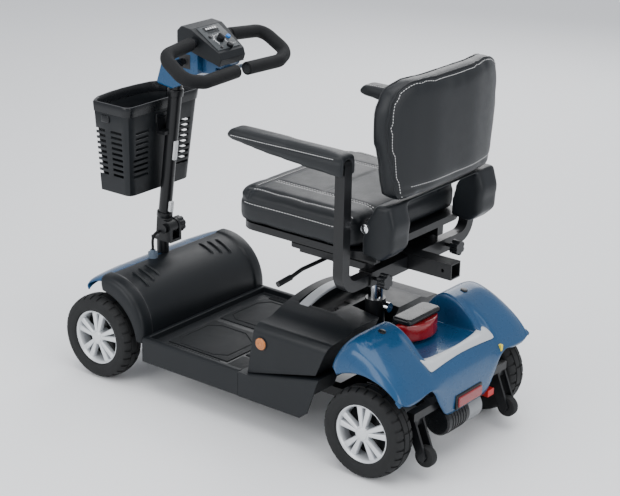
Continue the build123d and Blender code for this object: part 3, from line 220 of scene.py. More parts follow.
cast_metal = make_finish("cast_metal", (0.26, 0.27, 0.28), 0.5, metal=0.8, drift=0.2, grain=0.5, grain_size=420)
lamp_red = make_finish("lamp_red", (0.20, 0.003, 0.006), 0.12, drift=0.35, drift_size=45, grain=0.25,
                       grain_size=320, pattern="cells", coat=0.5, shine=0.4)
marker_amber = make_finish("marker_amber", (0.42, 0.12, 0.006), 0.22, drift=0.3, drift_size=60, grain=0.5,
                           grain_size=380, pattern="cells", coat=0.8)
lever_red = make_finish("lever_red", (0.40, 0.010, 0.009), 0.4, drift=0.06, grain=0.1)
control_grey = make_finish("control_grey", (0.10, 0.135, 0.18), 0.45, drift=0.08, grain=0.2)
dash_grey = make_finish("dash_grey", (0.032, 0.038, 0.042), 0.48, drift=0.3, drift_size=160, grain=0.5,
                        grain_size=700, pattern="cells")
print_white = make_finish("print_white", (0.72, 0.73, 0.74), 0.5, drift=0.03, grain=0.05)
label_white = make_finish("label_white", (0.62, 0.63, 0.64), 0.42, drift=0.05, grain=0.05)
warn_yellow = make_finish("warn_yellow", (0.70, 0.56, 0.03), 0.42, drift=0.06, grain=0.05)
button_blue = make_finish("button_blue", (0.02, 0.16, 0.50), 0.3, drift=0.05, grain=0.05)
clear_cover = make_finish("clear_cover", (0.75, 0.80, 0.84), 0.08, drift=0.04, grain=0.1, grain_size=260,
                          pattern="cells", coat=1.0)
thread_white = make_finish("thread_white", (0.60, 0.60, 0.60), 0.7, drift=0.06, grain=0.3, grain_size=1600)
socket_dark = make_finish("socket_dark", (0.006, 0.006, 0.007), 0.5, grain=0.2)
print("finishes:", len(bpy.data.materials))

# %% [markdown]
# ## The maker's small tools
# Four helpers do most of the work. `skin` pulls a row of points through a list of sections,
# as a plastic panel is lofted. `soft_block` is a box with rounded edges, `disc` is a turned
# round, and `tube` is a bent bar, bead or thread. `finished` closes the mesh, gives it its
# finish and hangs it on a body.


# %% Closing a piece
def finished(name, bm, material, body, sharp=38.0):
    """Turn a bmesh into a named piece that rides on a body."""
    mesh = bpy.data.meshes.new(name)
    bm.to_mesh(mesh)
    bm.free()
    mesh.shade_smooth()
    mesh.set_sharp_from_angle(angle=radians(sharp))
    mesh.materials.append(material)
    piece = bpy.data.objects.new(name, mesh)
    scene.collection.objects.link(piece)
    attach(piece, body)
    print(name, len(mesh.polygons), "faces")
    return piece


def thicken(piece, wall, rounding=0.0, subdivide=0):
    """Give a thin skin its wall, then soften its edges."""
    if subdivide:
        smooth = piece.modifiers.new("smooth", "SUBSURF")
        smooth.levels = subdivide
        smooth.render_levels = subdivide
    if wall:
        shell = piece.modifiers.new("wall", "SOLIDIFY")
        shell.thickness = wall * MM
        shell.offset = -1
    if rounding:
        ease = piece.modifiers.new("ease", "BEVEL")
        ease.width = rounding * MM
        ease.segments = 2
        ease.limit_method = "ANGLE"
        ease.angle_limit = radians(40)


# %% Skins, blocks, discs and tubes
def skin(bm, sections, closed=False):
    """Extrude a row of points through the sections, one row after another."""
    row = [bm.verts.new(at(*p)) for p in sections[0]]
    following = row[1:] + row[:1] if closed else row[1:]
    edges = [bm.edges.new(pair) for pair in zip(row, following)]
    for points in sections[1:]:
        grown = bmesh.ops.extrude_edge_only(bm, edges=edges)["geom"]
        fresh = {g for g in grown if isinstance(g, bmesh.types.BMVert)}
        edges = [g for g in grown if isinstance(g, bmesh.types.BMEdge) and set(g.verts) <= fresh]
        row = [next(e.other_vert(v) for e in v.link_edges if e.other_vert(v) in fresh) for v in row]
        for vert, point in zip(row, points):
            vert.co = at(*point)
    return row


def soft_block(bm, low, high, ease, turn=None, segments=3):
    """A box between two corners, with its edges rounded and then turned by a matrix."""
    low, high = at(*low), at(*high)
    verts = bmesh.ops.create_cube(bm, size=1.0)["verts"]
    bmesh.ops.scale(bm, vec=high - low, verts=verts)
    edges = list({e for v in verts for e in v.link_edges})
    made = bmesh.ops.bevel(bm, geom=edges, offset=ease * MM, offset_type="OFFSET", affect="EDGES",
                           segments=segments, profile=0.5, material=-1, clamp_overlap=True)
    verts = list({v for f in made["faces"] for v in f.verts})
    place = Matrix.Translation((low + high) / 2)
    bmesh.ops.transform(bm, matrix=place @ turn if turn else place, verts=verts)


def disc(bm, middle, axis, radius, depth, ease=1.0, sides=40, top=None):
    """A turned disc about an axis, with both rims eased."""
    made = bmesh.ops.create_cone(bm, cap_ends=True, segments=sides, radius1=radius * MM,
                                 radius2=(top if top else radius) * MM, depth=depth * MM)["verts"]
    rims = [e for e in {e for v in made for e in v.link_edges}
            if all(len(f.verts) > 4 for f in e.link_faces if f.normal.z ** 2 > 0.9)
            and any(len(f.verts) > 4 for f in e.link_faces)]
    if ease:
        made = made + bmesh.ops.bevel(bm, geom=rims, offset=ease * MM, offset_type="OFFSET", affect="EDGES",
                                      segments=2, profile=0.5, material=-1, clamp_overlap=True)["verts"]
    turn = Vector(axis).normalized().to_track_quat("Z", "Y").to_matrix().to_4x4()
    live = list({v for v in made if v.is_valid})
    bmesh.ops.transform(bm, matrix=Matrix.Translation(at(*middle)) @ turn, verts=live)


def tube(bm, path, radius, sides=10, capped=True):
    """A round bar along points in millimetres."""
    points = [Vector(p) for p in path]
    side = None
    rings = []
    for i, point in enumerate(points):
        ahead = (points[min(i + 1, len(points) - 1)] - points[max(i - 1, 0)]).normalized()
        if side is None:
            side = ahead.orthogonal().normalized()
        side = (side - ahead * side.dot(ahead)).normalized()
        other = ahead.cross(side)
        rings.append([point + radius * (cos(2 * pi * k / sides) * side + sin(2 * pi * k / sides) * other)
                      for k in range(sides)])
    before = set(bm.verts)
    skin(bm, rings, closed=True)
    made = [v for v in bm.verts if v not in before]
    if capped:
        rim = [e for e in {e for v in made for e in v.link_edges} if e.is_boundary]
        bmesh.ops.holes_fill(bm, edges=rim, sides=0)


def eased_copy(node, name, width, material, body, segments=3, corner=32):
    """A merged copy of a CAD piece with its hard edges rounded."""
    bm = bmesh.new()
    bm.from_mesh(nodes[node].data)
    bmesh.ops.remove_doubles(bm, verts=bm.verts, dist=2e-5)
    bmesh.ops.dissolve_limit(bm, angle_limit=radians(0.8), verts=bm.verts, edges=bm.edges)
    piece = finished(name, bm, material, body, sharp=corner)
    ease = piece.modifiers.new("ease", "BEVEL")
    ease.width = width * MM
    ease.segments = segments
    ease.limit_method = "ANGLE"
    ease.angle_limit = radians(corner)
    ease.miter_outer = "MITER_ARC"
    ease.harden_normals = False
    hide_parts(node)
    return piece

# %% [markdown]
# ## Tyres
# A solid scooter tyre is a turned ring, so its outline is drawn once and spun about the
# axle. The grooves round the tyre are part of that outline. The cross grooves are made after
# the spin: every fourth face of the outer bands is extruded inwards, which leaves blocks.

# %% Turn the four tyres
axle_z = 103.0
wheel_spots = {"front_left": (212, -399), "front_right": (-212, -399), "rear_left": (222, 393),
               "rear_right": (-222, 393)}
half_outline = [(24, 66.3), (28.6, 69), (30.2, 74), (30.8, 80), (30.0, 83.5), (30.6, 86), (30.0, 91), (28.0, 95.2),
                (25.6, 98.0), (18.0, 100.9), (11.0, 102.2), (10.2, 99.4), (8.2, 99.6), (7.4, 102.7)]
tyre_outline = half_outline + [(-x, r) for x, r in reversed(half_outline)]
tyre_steps = 112
groove_depth = 2.6


def turn_outline(bm, outline, middle, steps, closed=True):
    """Spin an outline of (across, radius) about a wheel's axle."""
    wheel_x, wheel_y = middle
    verts = [bm.verts.new(at(wheel_x + across, wheel_y, axle_z + radius)) for across, radius in outline]
    following = verts[1:] + verts[:1] if closed else verts[1:]
    edges = [bm.edges.new(pair) for pair in zip(verts, following)]
    bmesh.ops.spin(bm, geom=verts + edges, cent=at(wheel_x, wheel_y, axle_z), axis=(1, 0, 0),
                   angle=2 * pi, steps=steps, use_merge=True)


for spot, middle in wheel_spots.items():
    bm = bmesh.new()
    turn_outline(bm, tyre_outline, middle, tyre_steps)
    hub = at(middle[0], middle[1], axle_z)
    blocks = []
    for face in bm.faces:
        offset = face.calc_center_median() - hub
        radius = sqrt(offset.y ** 2 + offset.z ** 2) / MM
        turn = pi + Vector((offset.y, offset.z)).angle_signed(Vector((1, 0)))
        step = int(turn / (2 * pi) * tyre_steps)
        outer = abs(offset.x) / MM > 11.5
        if radius > 95.5 and outer and (step + (2 if offset.x > 0 else 0)) % 4 == 0:
            blocks.append(face)
        elif radius > 101 and not outer and step % 8 == 4:
            blocks.append(face)
    pushed = bmesh.ops.extrude_face_region(bm, geom=blocks)["geom"]
    bmesh.ops.delete(bm, geom=blocks, context="FACES_KEEP_BOUNDARY")
    for vert in (g for g in pushed if isinstance(g, bmesh.types.BMVert)):
        inward = vert.co - hub
        inward.x = 0
        vert.co -= inward.normalized() * groove_depth * MM
    bmesh.ops.recalc_face_normals(bm, faces=bm.faces)
    place = spot.split("_")
    tyre = finished("tread_" + spot, bm, tyre_rubber, f"{place[0]}_wheel_{place[1]}", sharp=30)
    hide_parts(f"{place[0]}_tyre_{place[1]}")

# %% [markdown]
# ## Cast wheels
# The rim is a turned barrel with a bright lip. Five pairs of spokes join it to the hub. One
# spoke is a box that is narrow at the hub and wide at the lip; the other nine are copies
# turned about the axle, so all ten stay the same.

# %% Rims, spokes and hub caps
barrel = [(24.6, 66), (25.0, 64.5), (23.5, 62.6), (17.0, 60.2), (8.0, 58.8), (-22.0, 58.8), (-24.6, 62.0),
          (-24.6, 66)]
spoke_pairs = 5
pair_spread = radians(11.5)
for spot, middle in wheel_spots.items():
    out = 1 if middle[0] > 0 else -1
    hub = at(middle[0], middle[1], axle_z)
    bm = bmesh.new()
    turn_outline(bm, [(x * out, r) for x, r in barrel], middle, 72)
    place = spot.split("_")
    for pair in range(spoke_pairs):
        for lean in (-1, 1):
            spoke = bmesh.ops.create_cube(bm, size=1.0)["verts"]
            for vert in spoke:
                far = vert.co.z > 0
                face_out = vert.co.x * out > 0
                width = 8.4 if far else 4.6
                depth = (18.5 if far else 22.5) if face_out else 8.0
                vert.co = Vector((out * depth, (2 * vert.co.y) * width / (1.0 if face_out else 0.8) * 0.82,
                                  60.8 if far else 15.0)) * MM
            edges = [e for e in {e for v in spoke for e in v.link_edges}
                     if abs(e.verts[0].co.z - e.verts[1].co.z) > 0.03]
            made = bmesh.ops.bevel(bm, geom=edges, offset=2.2 * MM, offset_type="OFFSET", affect="EDGES",
                                   segments=3, profile=0.5, material=-1, clamp_overlap=True)
            live = list({v for v in spoke + made["verts"] if v.is_valid})
            angle = pair * 2 * pi / spoke_pairs + lean * pair_spread
            bmesh.ops.transform(bm, matrix=Matrix.Translation(hub) @ Matrix.Rotation(angle, 4, "X"), verts=live)
    x, y = middle
    disc(bm, (x + out * 4, y, axle_z), (out, 0, 0), 17.5, 37, ease=1.5)
    disc(bm, (x + out * 23.2, y, axle_z), (out, 0, 0), 15.5, 3.4, ease=1.4, top=13.0)
    bmesh.ops.recalc_face_normals(bm, faces=bm.faces)
    rim = finished("rim_" + spot, bm, wheel_silver, f"{place[0]}_wheel_{place[1]}", sharp=34)
    inner = bmesh.new()
    disc(inner, (x - out * 10, y, axle_z), (out, 0, 0), 58.0, 7, ease=1)
    disc(inner, (x - out * 24, y, axle_z), (out, 0, 0), 21.0, 22, ease=1.5)
    if spot.startswith("rear"):
        disc(inner, (x - out * 80, y, axle_z), (out, 0, 0), 8.5, 110, ease=0)
    backing = finished("hub_drum_" + spot, inner, black_paint, f"{place[0]}_wheel_{place[1]}")
    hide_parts(f"{place[0]}_rim_{place[1]}")

# %% [markdown]
# ## The floor deck
# The deck is a shallow moulded tray with a rubbery mat. The tray keeps its CAD shape with
# eased edges. On top lie thin raised panels with rounded corners, like those moulded into a
# real foot well, and two rows of grip bars near the edges.

# %% Tray, foot panels and grip bars
deck = eased_copy("floor_deck", "deck_tray", 5.0, black_moulding, "chassis")
bm = bmesh.new()
soft_block(bm, (-176, -222, 121.5), (-10, -40, 124.4), 1.4)
soft_block(bm, (10, -222, 121.5), (176, -40, 124.4), 1.4)
soft_block(bm, (-120, -32, 121.5), (120, 24, 124.4), 1.4)
soft_block(bm, (-200, -32, 121.5), (-130, 24, 124.0), 1.4)
soft_block(bm, (130, -32, 121.5), (200, 24, 124.0), 1.4)
for side in (-1, 1):
    for row in range(3):
        x = side * (186 + 6 * row)
        soft_block(bm, (x - 1.4, -214, 121.5), (x + 1.4, -54, 124.8), 1.0, segments=2)
mat = finished("deck_mat", bm, mat_rubber, "chassis")

bm = bmesh.new()
outline = [(x, y, 124.6) for x, y in ((-150, -60), (-168, -90), (-168, -190), (-140, -212), (-46, -212),
                                      (-26, -186), (-26, -110), (-60, -60), (-150, -60))]
tube(bm, outline, 1.5, sides=6)
tube(bm, [(-x, y, z) for x, y, z in outline], 1.5, sides=6)
tube(bm, [(-100, -12, 124.6), (-60, 12, 124.6), (60, 12, 124.6), (100, -12, 124.6)], 1.5, sides=6)
ribs = finished("deck_ribs", bm, mat_rubber, "chassis")

skirts = eased_copy("side_skirts", "skirt_panels", 5.0, black_moulding, "chassis")

# %% [markdown]
# ## Front cowl
# The cowl is one blow-moulded hump with its ends rolled down over the wheels. Its outline
# runs from the floor over the crest to the blue fender. The skin is pulled from the lip over
# the left wheel to the lip over the right wheel, a few millimetres prouder near the ends, so
# the flared bands come from the sections themselves.

# %% The hump, section by section
hump_centre = Vector((-377.3, 141.8))
hump_radius = 114.7
seam_y = -388.0
hump = [(-263, 121)]
for step in range(11):
    turned = radians(-3 + 98.5 * step / 10)
    hump.append(tuple(hump_centre + hump_radius * Vector((cos(turned), sin(turned)))))


def hump_row(x, proud, drop=0.0):
    """The hump's outline at one station, pushed out from its middle."""
    row = []
    for y, z in hump:
        away = (Vector((y, z)) - hump_centre).normalized()
        row.append((x, y + away.x * (proud - drop), z + away.y * (proud - drop)))
    return row


def lip_row(x, radius, low=9.0, high=83.0):
    """The arch over the wheel, with as many points as the hump."""
    count = len(hump)
    angles = [radians(low + (high - low) * i / (count - 1)) for i in range(count)]
    return [(x, -399 + radius * cos(a), 103 + radius * sin(a)) for a in angles]


half_rows = [lip_row(226.0, 122.5), lip_row(228.0, 124.5), hump_row(228.0, -16), hump_row(227.0, -6),
             hump_row(222.0, 1.5), hump_row(212.0, 4.5), hump_row(196.0, 4.5), hump_row(190.0, 4.0),
             hump_row(187.0, 0.5), hump_row(180.0, 0.0), hump_row(120.0, 0.0), hump_row(60.0, 0.5)]
rows = half_rows + [hump_row(0, 1.0)] + [[(-x, y, z) for x, y, z in row] for row in reversed(half_rows)]
bm = bmesh.new()
skin(bm, rows)
bmesh.ops.recalc_face_normals(bm, faces=bm.faces)
if sum((f.normal.z for f in bm.faces)) < 0:
    bmesh.ops.reverse_faces(bm, faces=bm.faces)
cowl = finished("cowl_moulding", bm, black_moulding, "chassis", sharp=60)
thicken(cowl, 3.0, subdivide=2)
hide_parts("front_cowl")


def on_hump(y_share):
    """A point part-way along the hump, and its outward direction, in the plane of the side."""
    place = y_share * (len(hump) - 1)
    i = min(int(place), len(hump) - 2)
    a, b = Vector(hump[i]), Vector(hump[i + 1])
    point = a.lerp(b, place - i)
    return point, (point - hump_centre).normalized()


bm = bmesh.new()
for side in (-1, 1):
    for centre_x, low, high in ((150, 0.60, 0.86), (124, 0.64, 0.88), (98, 0.68, 0.90)):
        path = []
        for i in range(9):
            (y, z), out_way = on_hump(low + (high - low) * i / 8)
            lift = 0.9 if 0 < i < 8 else -1.5
            path.append((side * centre_x, y + out_way.x * lift, z + out_way.y * lift))
        tube(bm, path, 3.2, sides=8)
relief = finished("cowl_relief", bm, black_moulding, "chassis", sharp=60)

# %% [markdown]
# ## Front fender
# The blue fender closes the nose and flares over both wheels. In the middle it falls to a
# blunt nose; over the wheels it ends in a shallow lip. Both outlines have the same number of
# points, so the skin can pass from one to the other within a few millimetres.

# %% The fender's sections
nose_line = [(-388.4, 255.5), (-408, 255), (-430, 248), (-448, 238), (-463, 222), (-471, 204), (-475.5, 180),
             (-474, 146), (-470, 114)]
wing_line = [(-388.4, 255.5), (-398, 256), (-410, 255), (-424, 251), (-438, 245), (-447, 240), (-451, 235),
             (-450, 229), (-447, 225)]


def fender_row(x, line, sag=0.0):
    """One section of the fender, drawn back towards its ends."""
    pull = 19.0 * (x / 230.0) ** 2
    row = []
    for i, (y, z) in enumerate(line):
        share = i / (len(line) - 1)
        row.append((x, min(y + pull * share ** 0.5, -388.4 - 5 * share), z - sag * (0.6 + 0.4 * share)))
    return row


half_rows = [fender_row(60, nose_line), fender_row(98, nose_line), fender_row(105, nose_line),
             fender_row(109, wing_line), fender_row(116, wing_line), fender_row(160, wing_line, 0),
             fender_row(200, wing_line, 1), fender_row(219, wing_line, 4), fender_row(227, wing_line, 12)]
rows = ([[(-x, y, z) for x, y, z in row] for row in reversed(half_rows)] + [fender_row(0, nose_line)] + half_rows)
bm = bmesh.new()
skin(bm, rows)
bmesh.ops.recalc_face_normals(bm, faces=bm.faces)
if sum((f.normal.z for f in bm.faces)) < 0:
    bmesh.ops.reverse_faces(bm, faces=bm.faces)
fender = finished("fender_front_panel", bm, blue_paint, "chassis", sharp=60)
thicken(fender, 3.0, subdivide=2)
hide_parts("front_fender")

# %% [markdown]
# ## The lift-out battery box
# The box keeps its crowned CAD shape; wide eased edges make it look moulded. The silver
# handle, a round charging socket in the hand well and an amber marker on each side are
# small pieces of their own, so that each has its own finish.

# %% Box, handle, socket and markers
box_shell = eased_copy("battery_case", "battery_box", 7.0, black_moulding, "battery_pack", corner=40)
grip = eased_copy("battery_handle", "battery_grip", 1.6, silver_moulding, "battery_pack")
bm = bmesh.new()
disc(bm, (34, 176, 264.5), (0, 0, 1), 15, 6, ease=1.5)
disc(bm, (34, 176, 268.5), (0, 0, 1), 11, 4, ease=1.0)
soft_block(bm, (-30, 150, 262.5), (-8, 190, 266.5), 1.5)
charge = finished("charging_socket", bm, socket_dark, "battery_pack")
bm = bmesh.new()
for side in (-1, 1):
    disc(bm, (side * 215.6, 91, 217), (side, 0, 0), 16.4, 2.4, ease=1.0)
bezel = finished("marker_bezel", bm, gloss_moulding, "battery_pack")
marker = eased_copy("side_reflectors", "amber_marker", 1.6, marker_amber, "battery_pack")
bm = bmesh.new()
for side in (-1, 1):
    for radius in (5.0, 9.0):
        ring = [(side * 219.1, 91 + radius * cos(a * pi / 12), 217 + radius * sin(a * pi / 12)) for a in range(25)]
        tube(bm, ring, 0.5, sides=6, capped=False)
rings = finished("marker_rings", bm, marker_amber, "battery_pack")

# %% [markdown]
# ## Rear shroud
# Two blue fenders stand on either side of a low channel, and one panel closes the back. One
# row of points runs from the front edge over the top and down behind. Rows in the channel
# lie low, rows on the fenders ride high, and the outer rows slide down towards the arch over
# the wheel, so one skin makes the whole shroud.

# %% Outlines of the channel, the fender and the arch
run_y = [297, 301, 309, 323, 347, 368, 392, 418, 445, 462, 477, 489, 497, 501, 501, 498]
channel_z = [232, 236, 238, 238, 238, 238, 238, 238, 239, 238.5, 233, 220, 203]
fender_z = [232, 246, 266, 289, 310, 309, 301, 287, 266, 252, 237, 221, 203]
step_z = fender_z[:7] + [283, 250, 243, 233, 220, 203]
arch_radius = 139.5


def shroud_row(x, heights, bottom):
    """One row over the shroud, ending at the given height behind."""
    tail = [heights[-1] + (bottom - heights[-1]) * share for share in (1 / 3, 2 / 3, 1)]
    return [(x, y, z) for y, z in zip(run_y, list(heights) + tail)]


def outer_row(x, share, proud=0.0):
    """A row part-way from the arch (share 0) to the fender's top (share 1)."""
    row = []
    corner = radians(9) * max(0.0, (x - 226) / 28) ** 1.5
    line = shroud_row(x, fender_z, 190)
    for i, (_, y, z) in enumerate(line):
        reach = Vector((y - 393, z - 103))
        radius = arch_radius + (reach.length - arch_radius) * share + proud
        spot = reach.normalized() * max(radius, arch_radius - 3)
        near_front, near_rear = max(0, 1 - i / 2.5), max(0, 1 - (len(line) - 1 - i) / 2.5)
        spot = Matrix.Rotation(corner * (near_rear - near_front), 2) @ spot
        row.append((x, 393 + spot.x, 103 + spot.y))
    return row


half_rows = [shroud_row(40, channel_z, 116), shroud_row(78, channel_z, 116), shroud_row(92, channel_z, 131),
             shroud_row(100, channel_z, 142), shroud_row(103, channel_z, 146), shroud_row(106, step_z, 150),
             shroud_row(111, step_z, 157), shroud_row(124, step_z, 178), shroud_row(130, fender_z, 188),
             shroud_row(146, fender_z, 201), shroud_row(166, fender_z, 196), shroud_row(186, fender_z, 190),
             outer_row(206, 0.99), outer_row(224, 0.93), outer_row(236, 0.80), outer_row(240, 0.74),
             outer_row(246, 0.64, 1.5), outer_row(252, 0.32), outer_row(255.5, 0.06, 1.0), outer_row(254, 0.0),
             outer_row(246, -0.02, -2.5)]
rows = [[(-x, y, z) for x, y, z in row] for row in reversed(half_rows)] + [shroud_row(0, channel_z, 116)] + half_rows
bm = bmesh.new()
skin(bm, rows)
bmesh.ops.recalc_face_normals(bm, faces=bm.faces)
if sum((f.normal.z for f in bm.faces)) < 0:
    bmesh.ops.reverse_faces(bm, faces=bm.faces)
shroud = finished("shroud_panels", bm, blue_paint, "chassis", sharp=75)
thicken(shroud, 3.0, subdivide=2)
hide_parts("rear_shroud")

# %% [markdown]
# ### Trim on the shroud
# The pale strip is an hourglass that lies across the back edge of the channel. Two dark screw
# wells, a plain label and the red reflector finish the back.

# %% Strip, reflector and screws
strip_rows = []
for x in (-125, -112, -100, -80, -50, -25, 0, 25, 50, 80, 100, 112, 125):
    waist = 1 - (abs(x) / 125) ** 1.6
    rise = max(0.0, (abs(x) - 98) / 27)
    strip_rows.append([(x, 443 + 14 * waist, 241.2 + 11.5 * rise), (x, 452 + 9 * waist, 241.0 + 7 * rise),
                       (x, 463 + 3 * waist, 240.2 + 4.6 * rise), (x, 474 - 2 * waist, 236.6 + 1.5 * rise),
                       (x, 484 - 7 * waist, 229.0 + 4.2 * waist)])
bm = bmesh.new()
skin(bm, strip_rows)
bmesh.ops.recalc_face_normals(bm, faces=bm.faces)
if sum((f.normal.z for f in bm.faces)) < 0:
    bmesh.ops.reverse_faces(bm, faces=bm.faces)
bmesh.ops.translate(bm, vec=at(0, 0, 1.6), verts=bm.verts)
strip = finished("trim_strip", bm, silver_moulding, "chassis", sharp=60)
thicken(strip, 3.0, rounding=0.7, subdivide=1)
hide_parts("rear_trim_strip")

reflector = eased_copy("rear_reflector", "red_reflector", 2.0, lamp_red, "chassis")
bm = bmesh.new()
soft_block(bm, (-51, 497, 121), (51, 504.5, 155), 3)
for side in (-1, 1):
    disc(bm, (side * 158, 376, 306), (0, 0.25, 1), 8.5, 4, ease=0.8)
trim = finished("shroud_trim", bm, gloss_moulding, "chassis")
bm = bmesh.new()
soft_block(bm, (-137, 488, 196), (-129, 499.5, 214), 0.5, segments=1)
tag = finished("plain_tag", bm, warn_yellow, "chassis")

# %% [markdown]
# ## Underneath
# The small wheels that stop the scooter tipping back are turned from an outline like the
# big ones. The gearbox and motor keep their CAD shapes; a few cast fins tell the eye what
# they are.

# %% Tip wheels, lever and motor fins
tip_outline = [(10, 9), (10, 19), (9, 22.5), (6, 24.2), (-6, 24.2), (-9, 22.5), (-10, 19), (-10, 9), (-6, 7), (6, 7)]
for side, name in ((1, "left"), (-1, "right")):
    bm = bmesh.new()
    verts = [bm.verts.new(at(side * 163 + a, 505, 56 + r)) for a, r in tip_outline]
    edges = [bm.edges.new(pair) for pair in zip(verts, verts[1:] + verts[:1])]
    bmesh.ops.spin(bm, geom=verts + edges, cent=at(side * 163, 505, 56), axis=(1, 0, 0), angle=2 * pi, steps=48,
                   use_merge=True)
    disc(bm, (side * 163, 505, 56), (1, 0, 0), 7.4, 21, ease=1)
    bmesh.ops.recalc_face_normals(bm, faces=bm.faces)
    tip = finished("tip_wheel_" + name, bm, tyre_rubber, "tip_wheel_" + name)
    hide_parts("anti_tip_wheel_" + name)
lever = eased_copy("freewheel_lever", "freewheel_handle", 1.5, lever_red, "freewheel")
arms = eased_copy("anti_tip_arms", "tip_arms", 0.9, black_paint, "chassis")
bm = bmesh.new()
for fin in range(6):
    disc(bm, (4 + 10 * fin, 467, 92), (1, 0, 0), 35.4, 3, ease=0.8)
fins = finished("motor_bands", bm, black_paint, "chassis")

# %% [markdown]
# ## Tiller, hinge and cable
# The tiller folds on a big hinge above the cowl. The tube and clevis stay as the CAD made
# them. The hinge gets its lobed knob, the tube gets a collar and two plain label plates, and
# one short cable climbs from a round plug into the clevis. The cable is a smooth spline
# through the same route as its CAD tube, because a real lead has no straight runs.

# %% Knob, labels and collar
knob = eased_copy("tiller_knob", "hinge_knob_cap", 1.6, gloss_moulding, "hinge_knob")
plug = eased_copy("cable_plug", "cable_socket", 1.5, control_grey, "chassis")
bm = bmesh.new()
lean = radians(7.1)
lean_turn = Matrix.Rotation(-lean, 4, "X")
soft_block(bm, (-5, -362.5, 500), (7, -351.0, 548), 0.6, turn=lean_turn, segments=1)
soft_block(bm, (-6, -381, 366), (6, -366.8, 392), 0.6, turn=lean_turn, segments=1)
plates = finished("plain_labels", bm, label_white, "tiller")
bm = bmesh.new()
disc(bm, (0, -391.4, 356), (0, sin(lean), cos(lean)), 19.5, 14, ease=2)
disc(bm, (0, -353, 668), (0, sin(lean), cos(lean)), 19.5, 18, ease=2)
collar = finished("tiller_collars", bm, black_paint, "tiller")

# %% The cable
cable_route = [(48, -388, 276), (48, -388, 288), (48.5, -388.3, 300), (43, -388, 312.5), (32, -388, 317.3),
               (19.4, -388, 317)]
cable_curve = bpy.data.curves.new("tiller_lead", "CURVE")
cable_curve.dimensions = "3D"
cable_curve.bevel_depth = 3.5 * MM
cable_curve.bevel_resolution = 4
line = cable_curve.splines.new("NURBS")
line.points.add(len(cable_route) - 1)
for point, place in zip(line.points, cable_route):
    point.co = at(*place).to_4d()
line.order_u = 3
line.use_endpoint_u = True
cable = bpy.data.objects.new("tiller_lead", cable_curve)
scene.collection.objects.link(cable)
depsgraph = bpy.context.evaluated_depsgraph_get()
cable_mesh = bpy.data.meshes.new_from_object(cable.evaluated_get(depsgraph))
cable_mesh.shade_smooth()
bpy.data.objects.remove(cable)
cable = bpy.data.objects.new("tiller_lead", cable_mesh)
scene.collection.objects.link(cable)
cable_mesh.materials.append(foam_grip)
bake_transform(cable)
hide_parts("tiller_cable")
print("cable", len(cable_mesh.polygons), "faces")

# %% [markdown]
# ## Console and handlebar
# The head of the tiller is a blue lower body under a black cover. The cover carries the
# sloping dash with its speed dial, horn and gauge. A turn of the dash's own slope places
# every small part on it, so they are all drawn flat and then tilted together.

# %% Body, cover and dash
console_low = eased_copy("console_base", "console_body", 4.0, blue_paint, "tiller")
console_top = eased_copy("console_cover", "console_lid", 5.0, black_moulding, "tiller")
dash_slope = Vector((0, 46, 76)).angle(Vector((0, 0, 1)))
dash_turn = Matrix.Rotation(-dash_slope, 4, "X")
dash_middle = Vector((0, -218, 820.1))


def on_dash(x, along, lift=0.0):
    """A point on the dash: across, up its slope, and off its face."""
    spot = dash_middle + dash_turn.to_3x3() @ Vector((x, -along, lift))
    return tuple(spot)


def dash_block(bm, x, along, width, length, height, ease, lift=0.0):
    """A soft block that lies on the dash."""
    spot = Vector(on_dash(x, along, lift))
    half = Vector((width, length, height)) / 2
    soft_block(bm, spot - half, spot + half, ease, turn=dash_turn, segments=2)


bm = bmesh.new()
dash_block(bm, 0, 2, 76, 78, 2.4, 1.1, lift=0.4)
dash = finished("dash_panel", bm, dash_grey, "tiller")
bm = bmesh.new()
dash_block(bm, 0, 31, 46, 12, 2.4, 0.9, lift=1.6)
gauge_cover = finished("gauge_window", bm, gloss_moulding, "tiller")
bm = bmesh.new()
for i in range(5):
    dash_block(bm, -15 + 7.5 * i, 31, 4.4, 5, 0.6, 0.2, lift=2.9)
gauge_marks = finished("gauge_marks", bm, print_white, "tiller")
bm = bmesh.new()
scale_arc = [on_dash(4 + 15.5 * sin(radians(a)), -7 + 15.5 * cos(radians(a)), 1.7) for a in range(-130, 131, 10)]
tube(bm, scale_arc, 0.8, sides=6)
for step in range(6):
    a = radians(-130 + 52 * step)
    tube(bm, [on_dash(4 + r * sin(a), -7 + r * cos(a), 1.7) for r in (17.5, 20.5)], 0.7, sides=5)
for i in range(3):
    dash_block(bm, -30 + 5 * i, -26, 2.4, 1.2, 0.6, 0.2, lift=1.8)
dial_print = finished("dial_scale", bm, print_white, "tiller")
speed = eased_copy("speed_dial", "speed_dial_cap", 0.8, gloss_moulding, "speed_knob")
horn = eased_copy("horn_button", "horn_cap", 0.7, button_blue, "horn")
bm = bmesh.new()
disc(bm, on_dash(-6, -31, 4.5), Vector((0, 46, 76)), 7.5, 9, ease=1.2, sides=28)
disc(bm, on_dash(22, -31, 2.5), Vector((0, 46, 76)), 3.2, 4, ease=0.8, sides=20)
disc(bm, on_dash(26, 6, 2.5), Vector((0, 46, 76)), 4.0, 4, ease=0.8, sides=20)
extra = finished("dash_knobs", bm, gloss_moulding, "tiller")
bm = bmesh.new()
for i in range(8):
    dash_block(bm, 0, 24 - 1.0 * i, 40, 0.35, 0.3, 0.1, lift=1.7)
tracks = finished("dash_lines", bm, socket_dark, "tiller")

